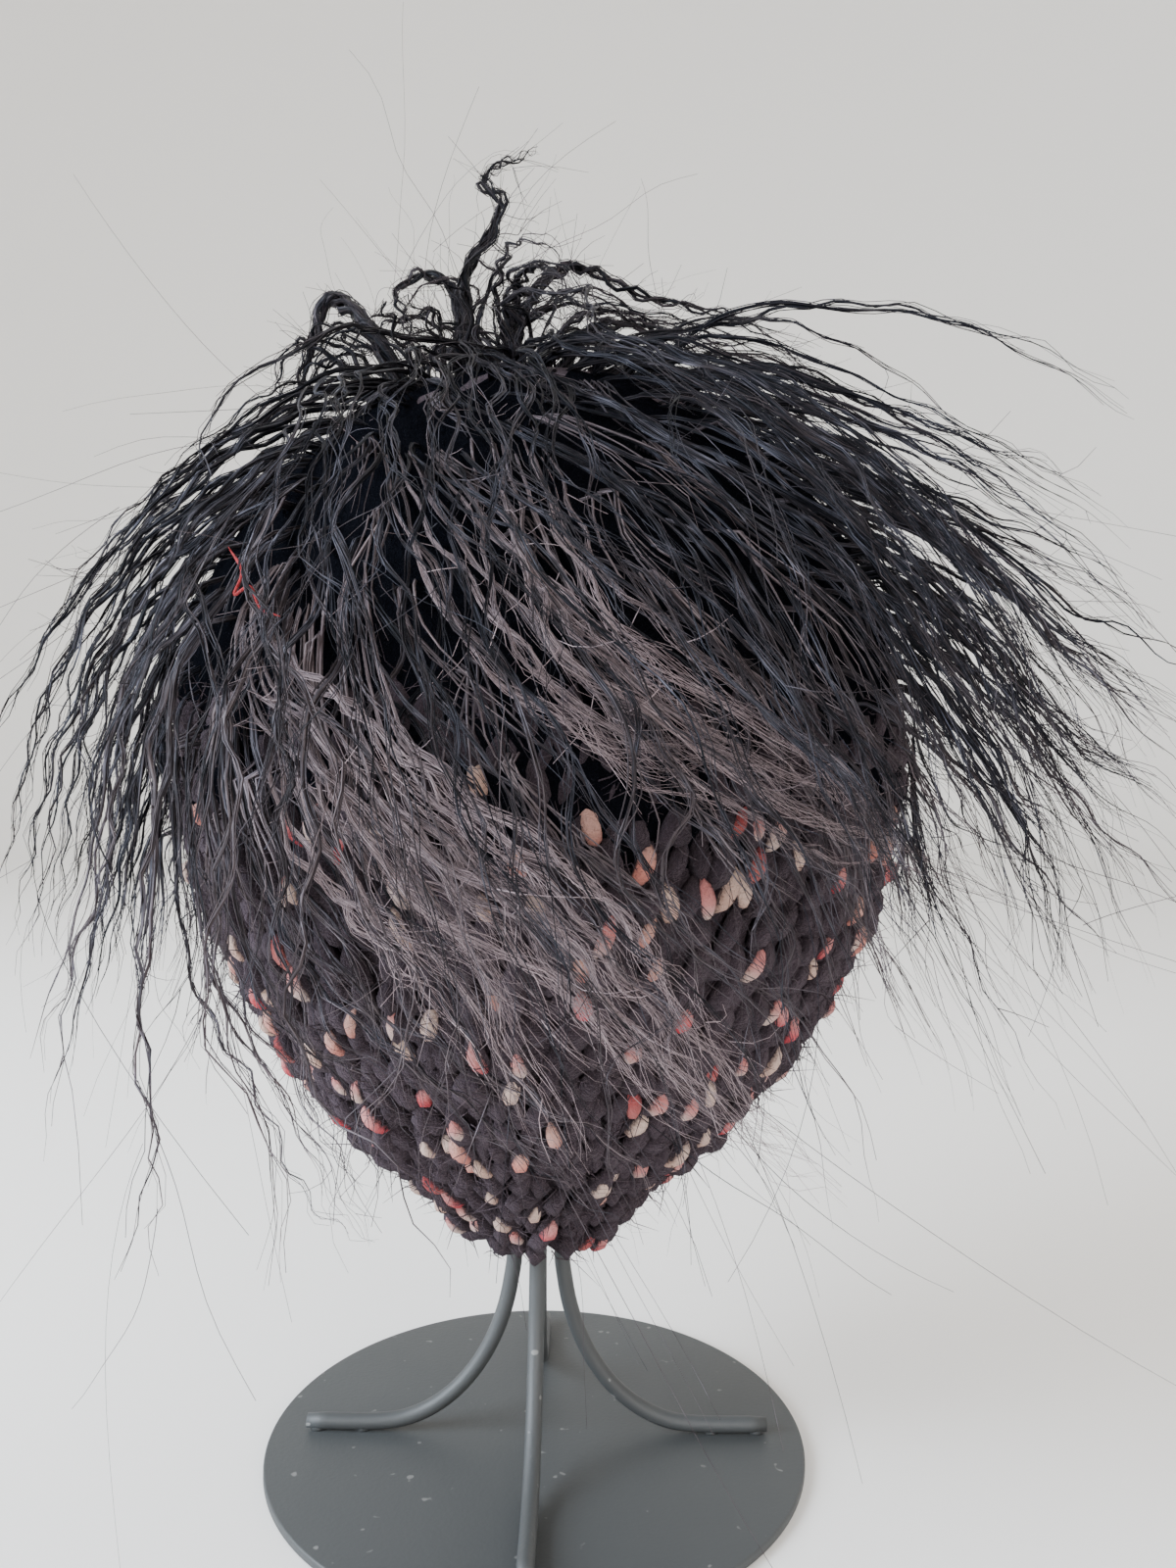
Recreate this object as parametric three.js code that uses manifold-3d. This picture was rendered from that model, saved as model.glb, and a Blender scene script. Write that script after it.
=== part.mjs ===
// A hand-knitted beanie covered in long wavy locks, pulled over a balloon-shaped wire hat stand.
// Millimetres, +Z up. +X is the viewer's right and -Y faces the viewer. The origin is the centre
// of the base plate's underside.
import * as THREE from 'three';
import { mergeVertices } from 'three/addons/utils/BufferGeometryUtils.js';
import Module from 'manifold-3d';

const wasm = await Module();
wasm.setup();

// Stand
const plateRadius = 76;
const plateThickness = 2.5;
const plateBevel = 0.6;
const wireDiameter = 4.5;
const footInset = 10; // each foot ends this far inside the plate's edge
const footLength = 20; // straight length of each foot on the plate
const neckRadius = 7; // the wires' centre lines from the axis at the neck
const neckHeight = 56.5; // where the wires run upright

// Hat
const hatRadius = 98; // outside, at the widest line
const widestHeight = 202.5; // the dome above this line is half a ball
const rimHeight = 62.5; // lowest edge, drawn in round the neck
const rimRoom = 3; // between the wires and the knit at the rim
const wallThickness = 6.5; // chunky knit
const slackBetweenWires = 3.4; // how far the knit sinks between the wires
const pleatCount = 8; // soft gathers above the rim
const pleatDepth = 3;
const pleatBand = { start: 0.3, full: 0.75, fade: 0.9 }; // shares of the way down to the rim

// Fur
const backingThickness = 1.8;
const backingLowEdge = 87; // degrees from the pole
const lockWidth = 21; // across a lock at its root
const lockThickness = 8;
const lockTip = 1.6;
const curlTaper = 1.6; // above 1, a curl stays thick for most of its length

// Clearances
const pieceGap = 0.3;
const weldDistance = 1e-4; // corners this close are one
const wireToKnitGap = 0.6; // a little more, because both are faceted

// How finely the round forms are cut
const roundSteps = 32;
const plateSteps = 32;
const domeSteps = 8;
const edgeSteps = 4;
const wireSides = 8;
const wireSteps = 72;
const lockSides = 4;
const lockSteps = 7;
const curlSides = 4;
const curlStepsPerPoint = 1.4;

const degree = Math.PI / 180;
const wireRadius = wireDiameter / 2;
const footReach = plateRadius - footInset;
const footHeight = plateThickness + pieceGap + wireRadius;
const rimRadius = neckRadius + wireRadius + rimRoom + wallThickness;

// The knit from the rim up to its widest line, as shares of the way up and of the way out.
const bulbSections = [
  { up: 0.0, out: 0.0 },
  { up: 0.03, out: 0.05 },
  { up: 0.09, out: 0.15 },
  { up: 0.18, out: 0.335 },
  { up: 0.28, out: 0.52 },
  { up: 0.39, out: 0.665 },
  { up: 0.51, out: 0.79 },
  { up: 0.63, out: 0.89 },
  { up: 0.75, out: 0.957 },
  { up: 0.88, out: 0.994 },
];

// Rings of locks, from the crown down. fromPole and turn are in degrees, and length is a share
// of the hat's radius.
const lockRings = [
  { fromPole: 18, count: 8, turn: 8, length: 1.35 },
  { fromPole: 34, count: 9, turn: 29, length: 1.35 },
  { fromPole: 50, count: 11, turn: 3, length: 1.25 },
  { fromPole: 66, count: 10, turn: 30, length: 1.15 },
  { fromPole: 81, count: 7, turn: 14, length: 0.95 },
];

// How the locks are combed on each side: how far they flare out from the hat, how hard they fall,
// how far they sweep towards +X, how stiffly they keep their direction, and how long they are
// beside their ring's length.
const comb = {
  right: { flare: 0.55, weight: 0.3, sweep: 0, stiffness: 0.6, length: 0.98 },
  front: { flare: 0.2, weight: 0.7, sweep: 0.75, stiffness: 0.45, length: 1.35 },
  left: { flare: 0.12, weight: 0.5, sweep: 0, stiffness: 0.5, length: 1.1 },
  back: { flare: 0.2, weight: 0.6, sweep: 0.4, stiffness: 0.5, length: 1.15 },
};
const ringSpread = 5; // degrees that a lock may stray from its ring
const roundSpread = 0.4; // how far it may stray round the ring, as a share of its spacing
const rootSpring = 0.1; // how far each lock leans out of the knit at its root
const lockWaveWidth = 0.042; // as a share of the hat's radius, as is the next
const lockWaveLength = 0.62;
const lockLengthSpread = 0.16;

// Loose locks that are combed across the front of the others, narrow at the root and wide in the
// middle. The points are shares of the hat's radius: to the right of the axis, behind it, and
// above the widest line.
const sweptWidth = 22; // across the widest part
const sweptThickness = 6;
const sweptRootShare = 0.12; // how far along its swell the root is
const sweptLocks = {
  fromCrown: [
    { right: -0.12, behind: -0.5, above: 0.85 }, { right: -0.02, behind: -0.9, above: 0.5 },
    { right: 0.05, behind: -1.03, above: 0.29 }, { right: 0.17, behind: -1.1, above: 0.11 },
    { right: 0.53, behind: -1.02, above: -0.12 }, { right: 0.78, behind: -0.86, above: -0.25 },
    { right: 1.22, behind: -0.56, above: -0.43 },
  ],
  belowCrown: [
    { right: -0.31, behind: -0.65, above: 0.68 }, { right: -0.14, behind: -0.97, above: 0.38 },
    { right: 0.11, behind: -1.09, above: 0.09 }, { right: 0.33, behind: -1.07, above: -0.06 },
    { right: 0.75, behind: -0.82, above: -0.14 },
  ],
  fromLeft: [
    { right: -0.66, behind: -0.66, above: 0.33 }, { right: -0.56, behind: -0.88, above: 0.1 },
    { right: -0.39, behind: -1.02, above: -0.05 }, { right: -0.2, behind: -1.09, above: -0.23 },
    { right: -0.02, behind: -1.12, above: -0.42 }, { right: 0.22, behind: -1.1, above: -0.67 },
    { right: 0.5, behind: -1.0, above: -0.95 },
  ],
  downLeft: [
    { right: -0.51, behind: -0.8, above: 0.29 }, { right: -0.45, behind: -0.99, above: -0.13 },
    { right: -0.28, behind: -1.05, above: -0.34 }, { right: -0.1, behind: -1.09, above: -0.54 },
    { right: 0.14, behind: -1.07, above: -0.97 },
  ],
  acrossFront: [
    { right: -0.4, behind: -0.83, above: 0.36 }, { right: -0.31, behind: -1.04, above: -0.01 },
    { right: -0.16, behind: -1.12, above: -0.22 }, { right: 0.08, behind: -1.15, above: -0.38 },
    { right: 0.24, behind: -1.13, above: -0.56 }, { right: 0.46, behind: -1.05, above: -0.8 },
    { right: 0.72, behind: -0.9, above: -1.04 },
  ],
};

// Curls that stand up from the crown, each from its root on the knit. The points are shares of
// the hat's radius: to the right of the axis, behind it, and above the top of the knit.
const crownCurls = {
  tallTwist: {
    thickness: 4.4, root: { right: -0.2, behind: 0.04 },
    points: [
      { right: -0.225, behind: 0.02, above: 0.17 }, { right: -0.235, behind: 0, above: 0.33 },
      { right: -0.17, behind: -0.01, above: 0.45 }, { right: -0.13, behind: -0.02, above: 0.54 },
      { right: -0.19, behind: -0.01, above: 0.59 }, { right: -0.16, behind: 0.01, above: 0.65 },
      { right: -0.09, behind: 0.02, above: 0.68 }, { right: -0.03, behind: 0.02, above: 0.71 },
    ],
  },
  archedLoop: {
    thickness: 4.8, root: { right: -0.26, behind: 0.06 },
    points: [
      { right: -0.26, behind: 0.05, above: 0.2 }, { right: -0.28, behind: 0.04, above: 0.31 },
      { right: -0.37, behind: 0.03, above: 0.35 }, { right: -0.44, behind: 0.01, above: 0.28 },
      { right: -0.41, behind: -0.03, above: 0.17 }, { right: -0.38, behind: -0.05, above: 0.02 },
    ],
  },
  leftKnot: {
    thickness: 6.4, root: { right: -0.38, behind: -0.12 },
    points: [
      { right: -0.47, behind: -0.11, above: 0.1 }, { right: -0.56, behind: -0.09, above: 0.21 },
      { right: -0.63, behind: -0.07, above: 0.22 }, { right: -0.67, behind: -0.05, above: 0.11 },
      { right: -0.72, behind: -0.02, above: -0.02 }, { right: -0.77, behind: 0, above: -0.2 },
    ],
  },
  rightArch: {
    thickness: 5.8, root: { right: -0.12, behind: -0.03 },
    points: [
      { right: -0.08, behind: -0.01, above: 0.2 }, { right: 0.02, behind: 0.01, above: 0.35 },
      { right: 0.13, behind: 0.03, above: 0.36 }, { right: 0.27, behind: 0.02, above: 0.29 },
      { right: 0.43, behind: 0, above: 0.25 }, { right: 0.6, behind: -0.03, above: 0.18 },
      { right: 0.8, behind: -0.04, above: 0.02 },
    ],
  },
  backArch: {
    thickness: 6, root: { right: 0.02, behind: 0.1 },
    points: [
      { right: 0.08, behind: 0.16, above: 0.2 }, { right: 0.24, behind: 0.24, above: 0.29 },
      { right: 0.44, behind: 0.32, above: 0.24 }, { right: 0.64, behind: 0.4, above: 0.1 },
    ],
  },
  frontCurl: {
    thickness: 5.2, root: { right: -0.06, behind: -0.12 },
    points: [
      { right: -0.09, behind: -0.2, above: 0.14 }, { right: -0.05, behind: -0.34, above: 0.2 },
      { right: 0.02, behind: -0.5, above: 0.14 }, { right: 0.12, behind: -0.66, above: -0.02 },
    ],
  },
  rearCurl: {
    thickness: 5.2, root: { right: -0.22, behind: 0.18 },
    points: [
      { right: -0.28, behind: 0.26, above: 0.16 }, { right: -0.36, behind: 0.38, above: 0.24 },
      { right: -0.46, behind: 0.5, above: 0.14 }, { right: -0.54, behind: 0.6, above: -0.04 },
    ],
  },
};

// A closed mesh as a manifold solid.
function solidFrom(geometry) {
  const bare = new THREE.BufferGeometry();
  bare.setAttribute('position', geometry.getAttribute('position').clone());
  if (geometry.index) bare.setIndex(geometry.index.clone());
  const merged = mergeVertices(bare, weldDistance);
  const mesh = new wasm.Mesh({
    numProp: 3,
    vertProperties: new Float32Array(merged.attributes.position.array),
    triVerts: new Uint32Array(merged.index.array),
  });
  return new wasm.Manifold(mesh);
}

// A manifold solid as three.js geometry.
function geometryFrom(solid) {
  const { vertProperties, triVerts } = solid.getMesh();
  const geometry = new THREE.BufferGeometry();
  geometry.setAttribute('position', new THREE.BufferAttribute(vertProperties, 3));
  geometry.setIndex(new THREE.BufferAttribute(triVerts, 1));
  geometry.computeVertexNormals();
  return geometry;
}

// A profile of (radius, height) points turned round the upright axis. It runs up the outside.
function turned(profile, steps) {
  return new THREE.LatheGeometry(profile, steps).rotateX(Math.PI / 2);
}

// The outside of the knit from the rim to the pole, and the way it faces at each point.
function makeKnitProfile() {
  const bulb = bulbSections.map(({ up, out }) => new THREE.Vector2(
    THREE.MathUtils.lerp(rimRadius, hatRadius, out), THREE.MathUtils.lerp(rimHeight, widestHeight, up),
  ));
  const dome = Array.from({ length: domeSteps + 1 }, (_, i) => {
    const angle = (i / domeSteps) * 90 * degree;
    return new THREE.Vector2(Math.cos(angle), Math.sin(angle))
      .multiplyScalar(hatRadius).add(new THREE.Vector2(0, widestHeight));
  });
  const places = [...bulb, ...dome];
  return places.map((place, i) => {
    if (i >= bulb.length) {
      return { place, facing: place.clone().sub(new THREE.Vector2(0, widestHeight)).normalize() };
    }
    const along = places[i + 1].clone().sub(places[Math.max(i - 1, 0)]).normalize();
    return { place, facing: new THREE.Vector2(along.y, -along.x) };
  });
}

const knitProfile = makeKnitProfile();

// That profile moved outwards, or inwards below zero.
function knitLine(outwards) {
  const line = knitProfile.map(({ place, facing }) => place.clone().addScaledVector(facing, outwards));
  line[line.length - 1].x = 0;
  return line;
}

// The knit isn't quite round: it sinks between the wires, which stand at 0, 90, 180 and 270
// degrees, and where it is pleated it gathers above the rim.
function loosen(geometry, pleated) {
  const position = geometry.getAttribute('position');
  const wave = (count, round) => 0.5 - 0.5 * Math.cos(count * round);
  for (let i = 0; i < position.count; i += 1) {
    const [x, y, z] = [position.getX(i), position.getY(i), position.getZ(i)];
    const radius = Math.hypot(x, y);
    if (radius < neckRadius) continue; // the crown stays round
    const round = Math.atan2(y, x);
    const down = (widestHeight - z) / (widestHeight - rimHeight);
    const gathered = THREE.MathUtils.smoothstep(down, pleatBand.start, pleatBand.full)
      * (1 - THREE.MathUtils.smoothstep(down, pleatBand.fade, 1));
    const slack = slackBetweenWires * Math.min(radius / hatRadius, 1) * wave(4, round);
    const pleat = pleated(x, y, z) ? pleatDepth * gathered * wave(pleatCount, round) : 0;
    const scale = 1 - (slack + pleat) / radius;
    position.setXY(i, x * scale, y * scale);
  }
  return geometry;
}

// The hollow knitted wall: up the inside, round the edge at the rim, and up the outside.
function makeKnit() {
  const outside = knitLine(0);
  const inside = knitLine(-wallThickness);
  const { place, facing } = knitProfile[0];
  const centre = place.clone().addScaledVector(facing, -wallThickness / 2);
  const along = new THREE.Vector2(facing.y, -facing.x);
  const edge = [];
  for (let i = 1; i < edgeSteps; i += 1) {
    const angle = (i / edgeSteps) * Math.PI;
    edge.push(centre.clone()
      .addScaledVector(facing, (-Math.cos(angle) * wallThickness) / 2)
      .addScaledVector(along, (Math.sin(angle) * wallThickness) / 2));
  }
  const loop = [...inside.reverse(), ...edge, ...outside];
  // A point is on the outside when it is one of the outside line's.
  const outsideRadius = new Map(outside.map(({ x, y }) => [y.toFixed(2), x]));
  const isOutside = (x, y, z) => {
    const radius = outsideRadius.get(z.toFixed(2));
    return radius !== undefined && Math.abs(radius - Math.hypot(x, y)) < pieceGap;
  };
  return loosen(turned(loop, roundSteps), isOutside);
}

// All that lies within the knit's outside and a gap round it.
function makeKnitEnvelope(gap) {
  const outside = knitLine(gap);
  const foot = new THREE.Vector2(0, outside[0].y);
  return loosen(turned([foot, ...outside], roundSteps), () => true);
}

// Half of a wire loop in its own plane, from the foot up the sweep to the neck, then out along
// the inside of the knit to the top. dropAtTop lowers it there, to pass under the other loop.
function halfWire(dropAtTop) {
  const sweepStart = footReach - footLength;
  const sweepSteps = 8;
  const line = [new THREE.Vector2(footReach, footHeight)];
  for (let i = 0; i <= sweepSteps; i += 1) {
    const angle = (i / sweepSteps) * 90 * degree;
    line.push(new THREE.Vector2(
      sweepStart - (sweepStart - neckRadius) * Math.sin(angle),
      neckHeight - (neckHeight - footHeight) * Math.cos(angle),
    ));
  }
  const inside = knitLine(-(wallThickness + wireToKnitGap + wireRadius));
  const top = inside[inside.length - 1].y;
  const dipLength = 4 * wireDiameter;
  inside.filter(({ x, y }) => y > neckHeight + wireDiameter && (x > neckRadius || y > widestHeight))
    .forEach(({ x, y }) => {
      const drop = dropAtTop * THREE.MathUtils.smoothstep(y, top - dipLength, top);
      line.push(new THREE.Vector2(x, y - drop));
    });
  return line;
}

function makeLoop(turn, dropAtTop) {
  const half = halfWire(dropAtTop);
  const other = half.slice(0, -1).reverse().map(({ x, y }) => new THREE.Vector2(-x, y));
  const points = [...half, ...other].map(({ x, y }) => new THREE.Vector3(x, 0, y));
  const section = new THREE.Shape().absarc(0, 0, wireRadius, 0, 2 * Math.PI);
  return new THREE.ExtrudeGeometry(section, {
    steps: wireSteps,
    curveSegments: wireSides / 2, // of each half circle
    bevelEnabled: false,
    extrudePath: new THREE.CatmullRomCurve3(points, false, 'centripetal'),
  }).rotateZ(turn);
}

function makePlate() {
  return turned([
    new THREE.Vector2(0, 0),
    new THREE.Vector2(plateRadius - plateBevel, 0),
    new THREE.Vector2(plateRadius, plateBevel),
    new THREE.Vector2(plateRadius, plateThickness - plateBevel),
    new THREE.Vector2(plateRadius - plateBevel, plateThickness),
    new THREE.Vector2(0, plateThickness),
  ], plateSteps);
}

// A cylinder whose rings are moved to the given points and sizes, for a lock that tapers. Its
// broad way lies across the direction that faceAt gives, as hair lies on what it covers.
function taperedBar(points, sizeAt, faceAt, sides) {
  const steps = points.length - 1;
  const geometry = new THREE.CylinderGeometry(0.5, 0.5, 1, sides, steps);
  const along = points.map((_, i) =>
    points[Math.min(i + 1, steps)].clone().sub(points[Math.max(i - 1, 0)]).normalize());
  const side = [];
  points.forEach((point, i) => {
    const level = along[i].clone().cross(faceAt(point));
    const carried = i ? alongSurface(side[i - 1], along[i]) : level;
    if (level.dot(carried) < 0) level.negate();
    side.push(alongSurface(carried.add(level), along[i]).normalize());
  });
  const position = geometry.getAttribute('position');
  for (let i = 0; i < position.count; i += 1) {
    const ring = Math.round((0.5 + position.getY(i)) * steps);
    const { width, thickness } = sizeAt(ring / steps);
    const face = side[ring].clone().cross(along[ring]);
    const moved = points[ring].clone()
      .addScaledVector(side[ring], position.getX(i) * width)
      .addScaledVector(face, position.getZ(i) * thickness);
    position.setXYZ(i, moved.x, moved.y, moved.z);
  }
  return geometry;
}

// A repeatable number from 0 to 1.
function scatter(seed) {
  const value = Math.sin(seed * 12.9898 + 4.1414) * 43758.5453;
  return value - Math.floor(value);
}

// The comb at one place round the hat, blended between its sides.
function combedAt(round) {
  const [x, y] = [Math.cos(round), Math.sin(round)];
  const [acrossSide, depthSide] = [x > 0 ? comb.right : comb.left, y > 0 ? comb.back : comb.front];
  const keys = Object.keys(comb.right);
  return Object.fromEntries(keys.map((key) => [key, acrossSide[key] * x * x + depthSide[key] * y * y]));
}

// The way out of the form that the locks drape over, and how far outside it a point lies: the
// dome, and an upright drum below its widest line.
function outOfDrape(point) {
  const out = new THREE.Vector3(point.x, point.y, Math.max(point.z - widestHeight, 0));
  const clear = out.length() - hatRadius;
  return { out: out.normalize(), clear };
}

// What is left of a direction along the surface that faces out.
function alongSurface(direction, out) {
  return direction.clone().addScaledVector(out, -direction.dot(out));
}

function lockSize(share) {
  return {
    width: THREE.MathUtils.lerp(lockWidth, lockTip, share),
    thickness: THREE.MathUtils.lerp(lockThickness, lockTip, share),
  };
}

// The centre line of one lock: it springs from the knit, is combed over, and falls.
function lockLine({ fromPole, round, ringLength, phase }) {
  const reach = hatRadius * Math.sin(fromPole);
  const root = new THREE.Vector3(
    reach * Math.cos(round), reach * Math.sin(round), widestHeight + hatRadius * Math.cos(fromPole),
  );
  const { flare, weight, sweep, stiffness, length: longer } = combedAt(round);
  const length = ringLength * longer;
  const down = new THREE.Vector3(0, 0, -1);
  const right = new THREE.Vector3(1, 0, 0);
  const points = [root];
  let heading = null;
  for (let i = 0; i < lockSteps; i += 1) {
    const share = i / (lockSteps - 1);
    const here = points[i];
    const { out } = outOfDrape(here);
    const outwards = new THREE.Vector3(here.x, here.y, 0).normalize();
    const pull = alongSurface(outwards, out).add(alongSurface(down, out)).normalize()
      .addScaledVector(alongSurface(right, out), sweep)
      .addScaledVector(outwards, flare)
      .addScaledVector(down, weight * share)
      .normalize();
    heading = heading ? heading.multiplyScalar(stiffness).addScaledVector(pull, 1 - stiffness)
      : pull.addScaledVector(out, rootSpring);
    heading.normalize();
    points.push(here.clone().addScaledVector(heading, length / lockSteps));
  }
  return points.map((point, i) => {
    if (i === 0) return point;
    const share = i / lockSteps;
    const { out } = outOfDrape(point);
    const sideways = new THREE.Vector3(-out.y, out.x, 0).normalize();
    const wave = Math.sin((share * length * 2 * Math.PI) / (lockWaveLength * hatRadius) + phase);
    point.addScaledVector(sideways, wave * lockWaveWidth * hatRadius);
    const { out: away, clear } = outOfDrape(point);
    const needed = lockSize(share).thickness / 2 + backingThickness;
    return clear < needed ? point.addScaledVector(away, needed - clear) : point;
  });
}

function makeLocks() {
  return lockRings.flatMap((ring, level) => Array.from({ length: ring.count }, (_, i) => {
    const seed = level * 100 + i;
    const points = lockLine({
      fromPole: (ring.fromPole + ringSpread * (scatter(seed + 0.25) - 0.5)) * degree,
      round: (ring.turn + (360 * (i + roundSpread * scatter(seed + 0.75))) / ring.count) * degree,
      ringLength: hatRadius * ring.length * (1 + lockLengthSpread * (2 * scatter(seed + 0.5) - 1)),
      phase: scatter(seed) * 2 * Math.PI,
    });
    return taperedBar(points, lockSize, (point) => outOfDrape(point).out, lockSides);
  }));
}

// A place given in shares of the hat's radius, with its last share above a level.
function placeFrom({ right, behind, above }, level) {
  return new THREE.Vector3(right, behind, above).multiplyScalar(hatRadius)
    .add(new THREE.Vector3(0, 0, level));
}

function makeSweptLocks() {
  const sizeAt = (share) => {
    const swell = Math.sin(Math.PI * THREE.MathUtils.lerp(sweptRootShare, 1, share));
    return {
      width: THREE.MathUtils.lerp(lockTip, sweptWidth, swell),
      thickness: THREE.MathUtils.lerp(lockTip, sweptThickness, swell),
    };
  };
  return Object.values(sweptLocks).map((points) => {
    const path = new THREE.CatmullRomCurve3(points.map((point) => placeFrom(point, widestHeight)));
    return taperedBar(path.getPoints(lockSteps), sizeAt, (point) => outOfDrape(point).out, lockSides);
  });
}

function makeCurls() {
  return Object.values(crownCurls).map(({ thickness, root, points }) => {
    const place = (point) => placeFrom(point, widestHeight + hatRadius);
    const above = Math.sqrt(1 - root.right ** 2 - root.behind ** 2) - 1;
    const path = new THREE.CatmullRomCurve3([place({ ...root, above }), ...points.map(place)]);
    const sizeAt = (share) => {
      const across = THREE.MathUtils.lerp(thickness, lockTip, share ** curlTaper);
      return { width: across, thickness: across };
    };
    const facing = new THREE.Vector3(0, -1, 0);
    const steps = Math.round(points.length * curlStepsPerPoint);
    return taperedBar(path.getPoints(steps), sizeAt, () => facing, curlSides);
  });
}

// The skin that the locks grow from, down to an angle from the pole. Its inner side lies within
// the knit, and the knit's envelope cuts it back.
function makeBacking() {
  const arc = (outwards) => Array.from({ length: domeSteps + 1 }, (_, i) => {
    const angle = (1 - i / domeSteps) * backingLowEdge * degree;
    const reach = hatRadius + outwards;
    return new THREE.Vector2(reach * Math.sin(angle), widestHeight + reach * Math.cos(angle));
  });
  const loop = [...arc(-wallThickness / 2).reverse(), ...arc(pieceGap + backingThickness)];
  return loosen(turned(loop, roundSteps), () => false);
}

function makeFur() {
  const fused = [...makeLocks(), ...makeSweptLocks(), ...makeCurls()].reduce(
    (whole, lock) => whole.add(solidFrom(lock)), solidFrom(makeBacking()),
  );
  return geometryFrom(fused.subtract(solidFrom(makeKnitEnvelope(pieceGap))));
}

const coatedSteel = new THREE.MeshStandardMaterial({ color: 0x4a4d4f, roughness: 0.6, metalness: 0.2 });
const fleckedYarn = new THREE.MeshStandardMaterial({ color: 0x2a2226, roughness: 0.95, metalness: 0 });
const lockWool = new THREE.MeshStandardMaterial({ color: 0x17181c, roughness: 0.7, metalness: 0 });

function piece(name, geometry, material) {
  const mesh = new THREE.Mesh(geometry, material);
  mesh.name = name;
  return mesh;
}

const part = new THREE.Group();
part.add(
  piece('base_plate', makePlate(), coatedSteel),
  piece('side_wire', makeLoop(0, 0), coatedSteel),
  piece('front_wire', makeLoop(Math.PI / 2, wireDiameter + pieceGap), coatedSteel),
  piece('knit_body', makeKnit(), fleckedYarn),
  piece('lock_fur', makeFur(), lockWool),
);

export default part;
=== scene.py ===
import math

import bpy
import numpy as np
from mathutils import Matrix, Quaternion, Vector


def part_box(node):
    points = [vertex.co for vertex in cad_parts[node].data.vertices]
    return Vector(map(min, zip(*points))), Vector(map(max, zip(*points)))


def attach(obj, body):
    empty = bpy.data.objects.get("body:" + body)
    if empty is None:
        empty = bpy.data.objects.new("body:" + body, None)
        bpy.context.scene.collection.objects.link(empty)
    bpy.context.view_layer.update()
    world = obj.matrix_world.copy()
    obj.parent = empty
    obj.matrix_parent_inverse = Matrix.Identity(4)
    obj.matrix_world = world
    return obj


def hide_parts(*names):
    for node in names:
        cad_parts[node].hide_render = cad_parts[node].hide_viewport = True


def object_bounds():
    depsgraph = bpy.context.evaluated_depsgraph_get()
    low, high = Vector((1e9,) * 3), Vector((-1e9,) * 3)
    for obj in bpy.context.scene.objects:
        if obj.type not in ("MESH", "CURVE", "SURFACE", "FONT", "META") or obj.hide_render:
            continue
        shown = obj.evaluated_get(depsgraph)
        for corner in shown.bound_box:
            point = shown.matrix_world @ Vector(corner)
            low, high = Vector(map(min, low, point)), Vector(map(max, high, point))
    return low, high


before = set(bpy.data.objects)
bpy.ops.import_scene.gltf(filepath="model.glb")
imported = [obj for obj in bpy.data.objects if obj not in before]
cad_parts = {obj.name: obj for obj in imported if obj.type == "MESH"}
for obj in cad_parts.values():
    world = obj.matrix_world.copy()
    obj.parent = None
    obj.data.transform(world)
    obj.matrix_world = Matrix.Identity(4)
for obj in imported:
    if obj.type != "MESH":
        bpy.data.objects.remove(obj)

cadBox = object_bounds()
mm = 0.001
degree = math.pi / 180

# The hat's own sizes, as the solids have them, in metres.
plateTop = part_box("base_plate")[1].z
knitLow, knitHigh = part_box("knit_body")
hatRadius = (knitHigh.x - knitLow.x) / 2
widestHeight = knitHigh.z - hatRadius
rimHeight = knitLow.z
wallThickness = 6.5 * mm


# Camera, first of all: it stands where the photograph was taken.

cameraSettings = {
    "place": (13.0 * mm, -336.8 * mm, 193.2 * mm),
    "pitch": -0.73,  # degrees, down
    "roll": 0.54,
    "sensor": 36.0,
    "lens": 27.05,
}


def makeCamera():
    data = bpy.data.cameras.new("camera")
    data.sensor_width = cameraSettings["sensor"]
    data.lens = cameraSettings["lens"]
    data.clip_start, data.clip_end = 0.01, 50
    camera = bpy.data.objects.new("camera", data)
    bpy.context.scene.collection.objects.link(camera)
    camera.location = cameraSettings["place"]
    camera.rotation_mode = "QUATERNION"
    level = Quaternion((1, 0, 0), (90 + cameraSettings["pitch"]) * degree)
    camera.rotation_quaternion = level @ Quaternion((0, 0, 1), cameraSettings["roll"] * degree)
    bpy.context.scene.camera = camera


makeCamera()
print("camera placed")


# Shader maths: a socket that can be added, multiplied and so on.

class Sock:
    def __init__(self, graph, socket):
        self.graph, self.socket = graph, socket

    def maths(self, operation, first, second=None):
        values = {0: first} if second is None else {0: first, 1: second}
        return self.graph.node("ShaderNodeMath", {"operation": operation}, values)

    def __add__(self, other):
        return self.maths("ADD", self, other)

    def __radd__(self, other):
        return self.maths("ADD", other, self)

    def __sub__(self, other):
        return self.maths("SUBTRACT", self, other)

    def __mul__(self, other):
        return self.maths("MULTIPLY", self, other)


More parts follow.
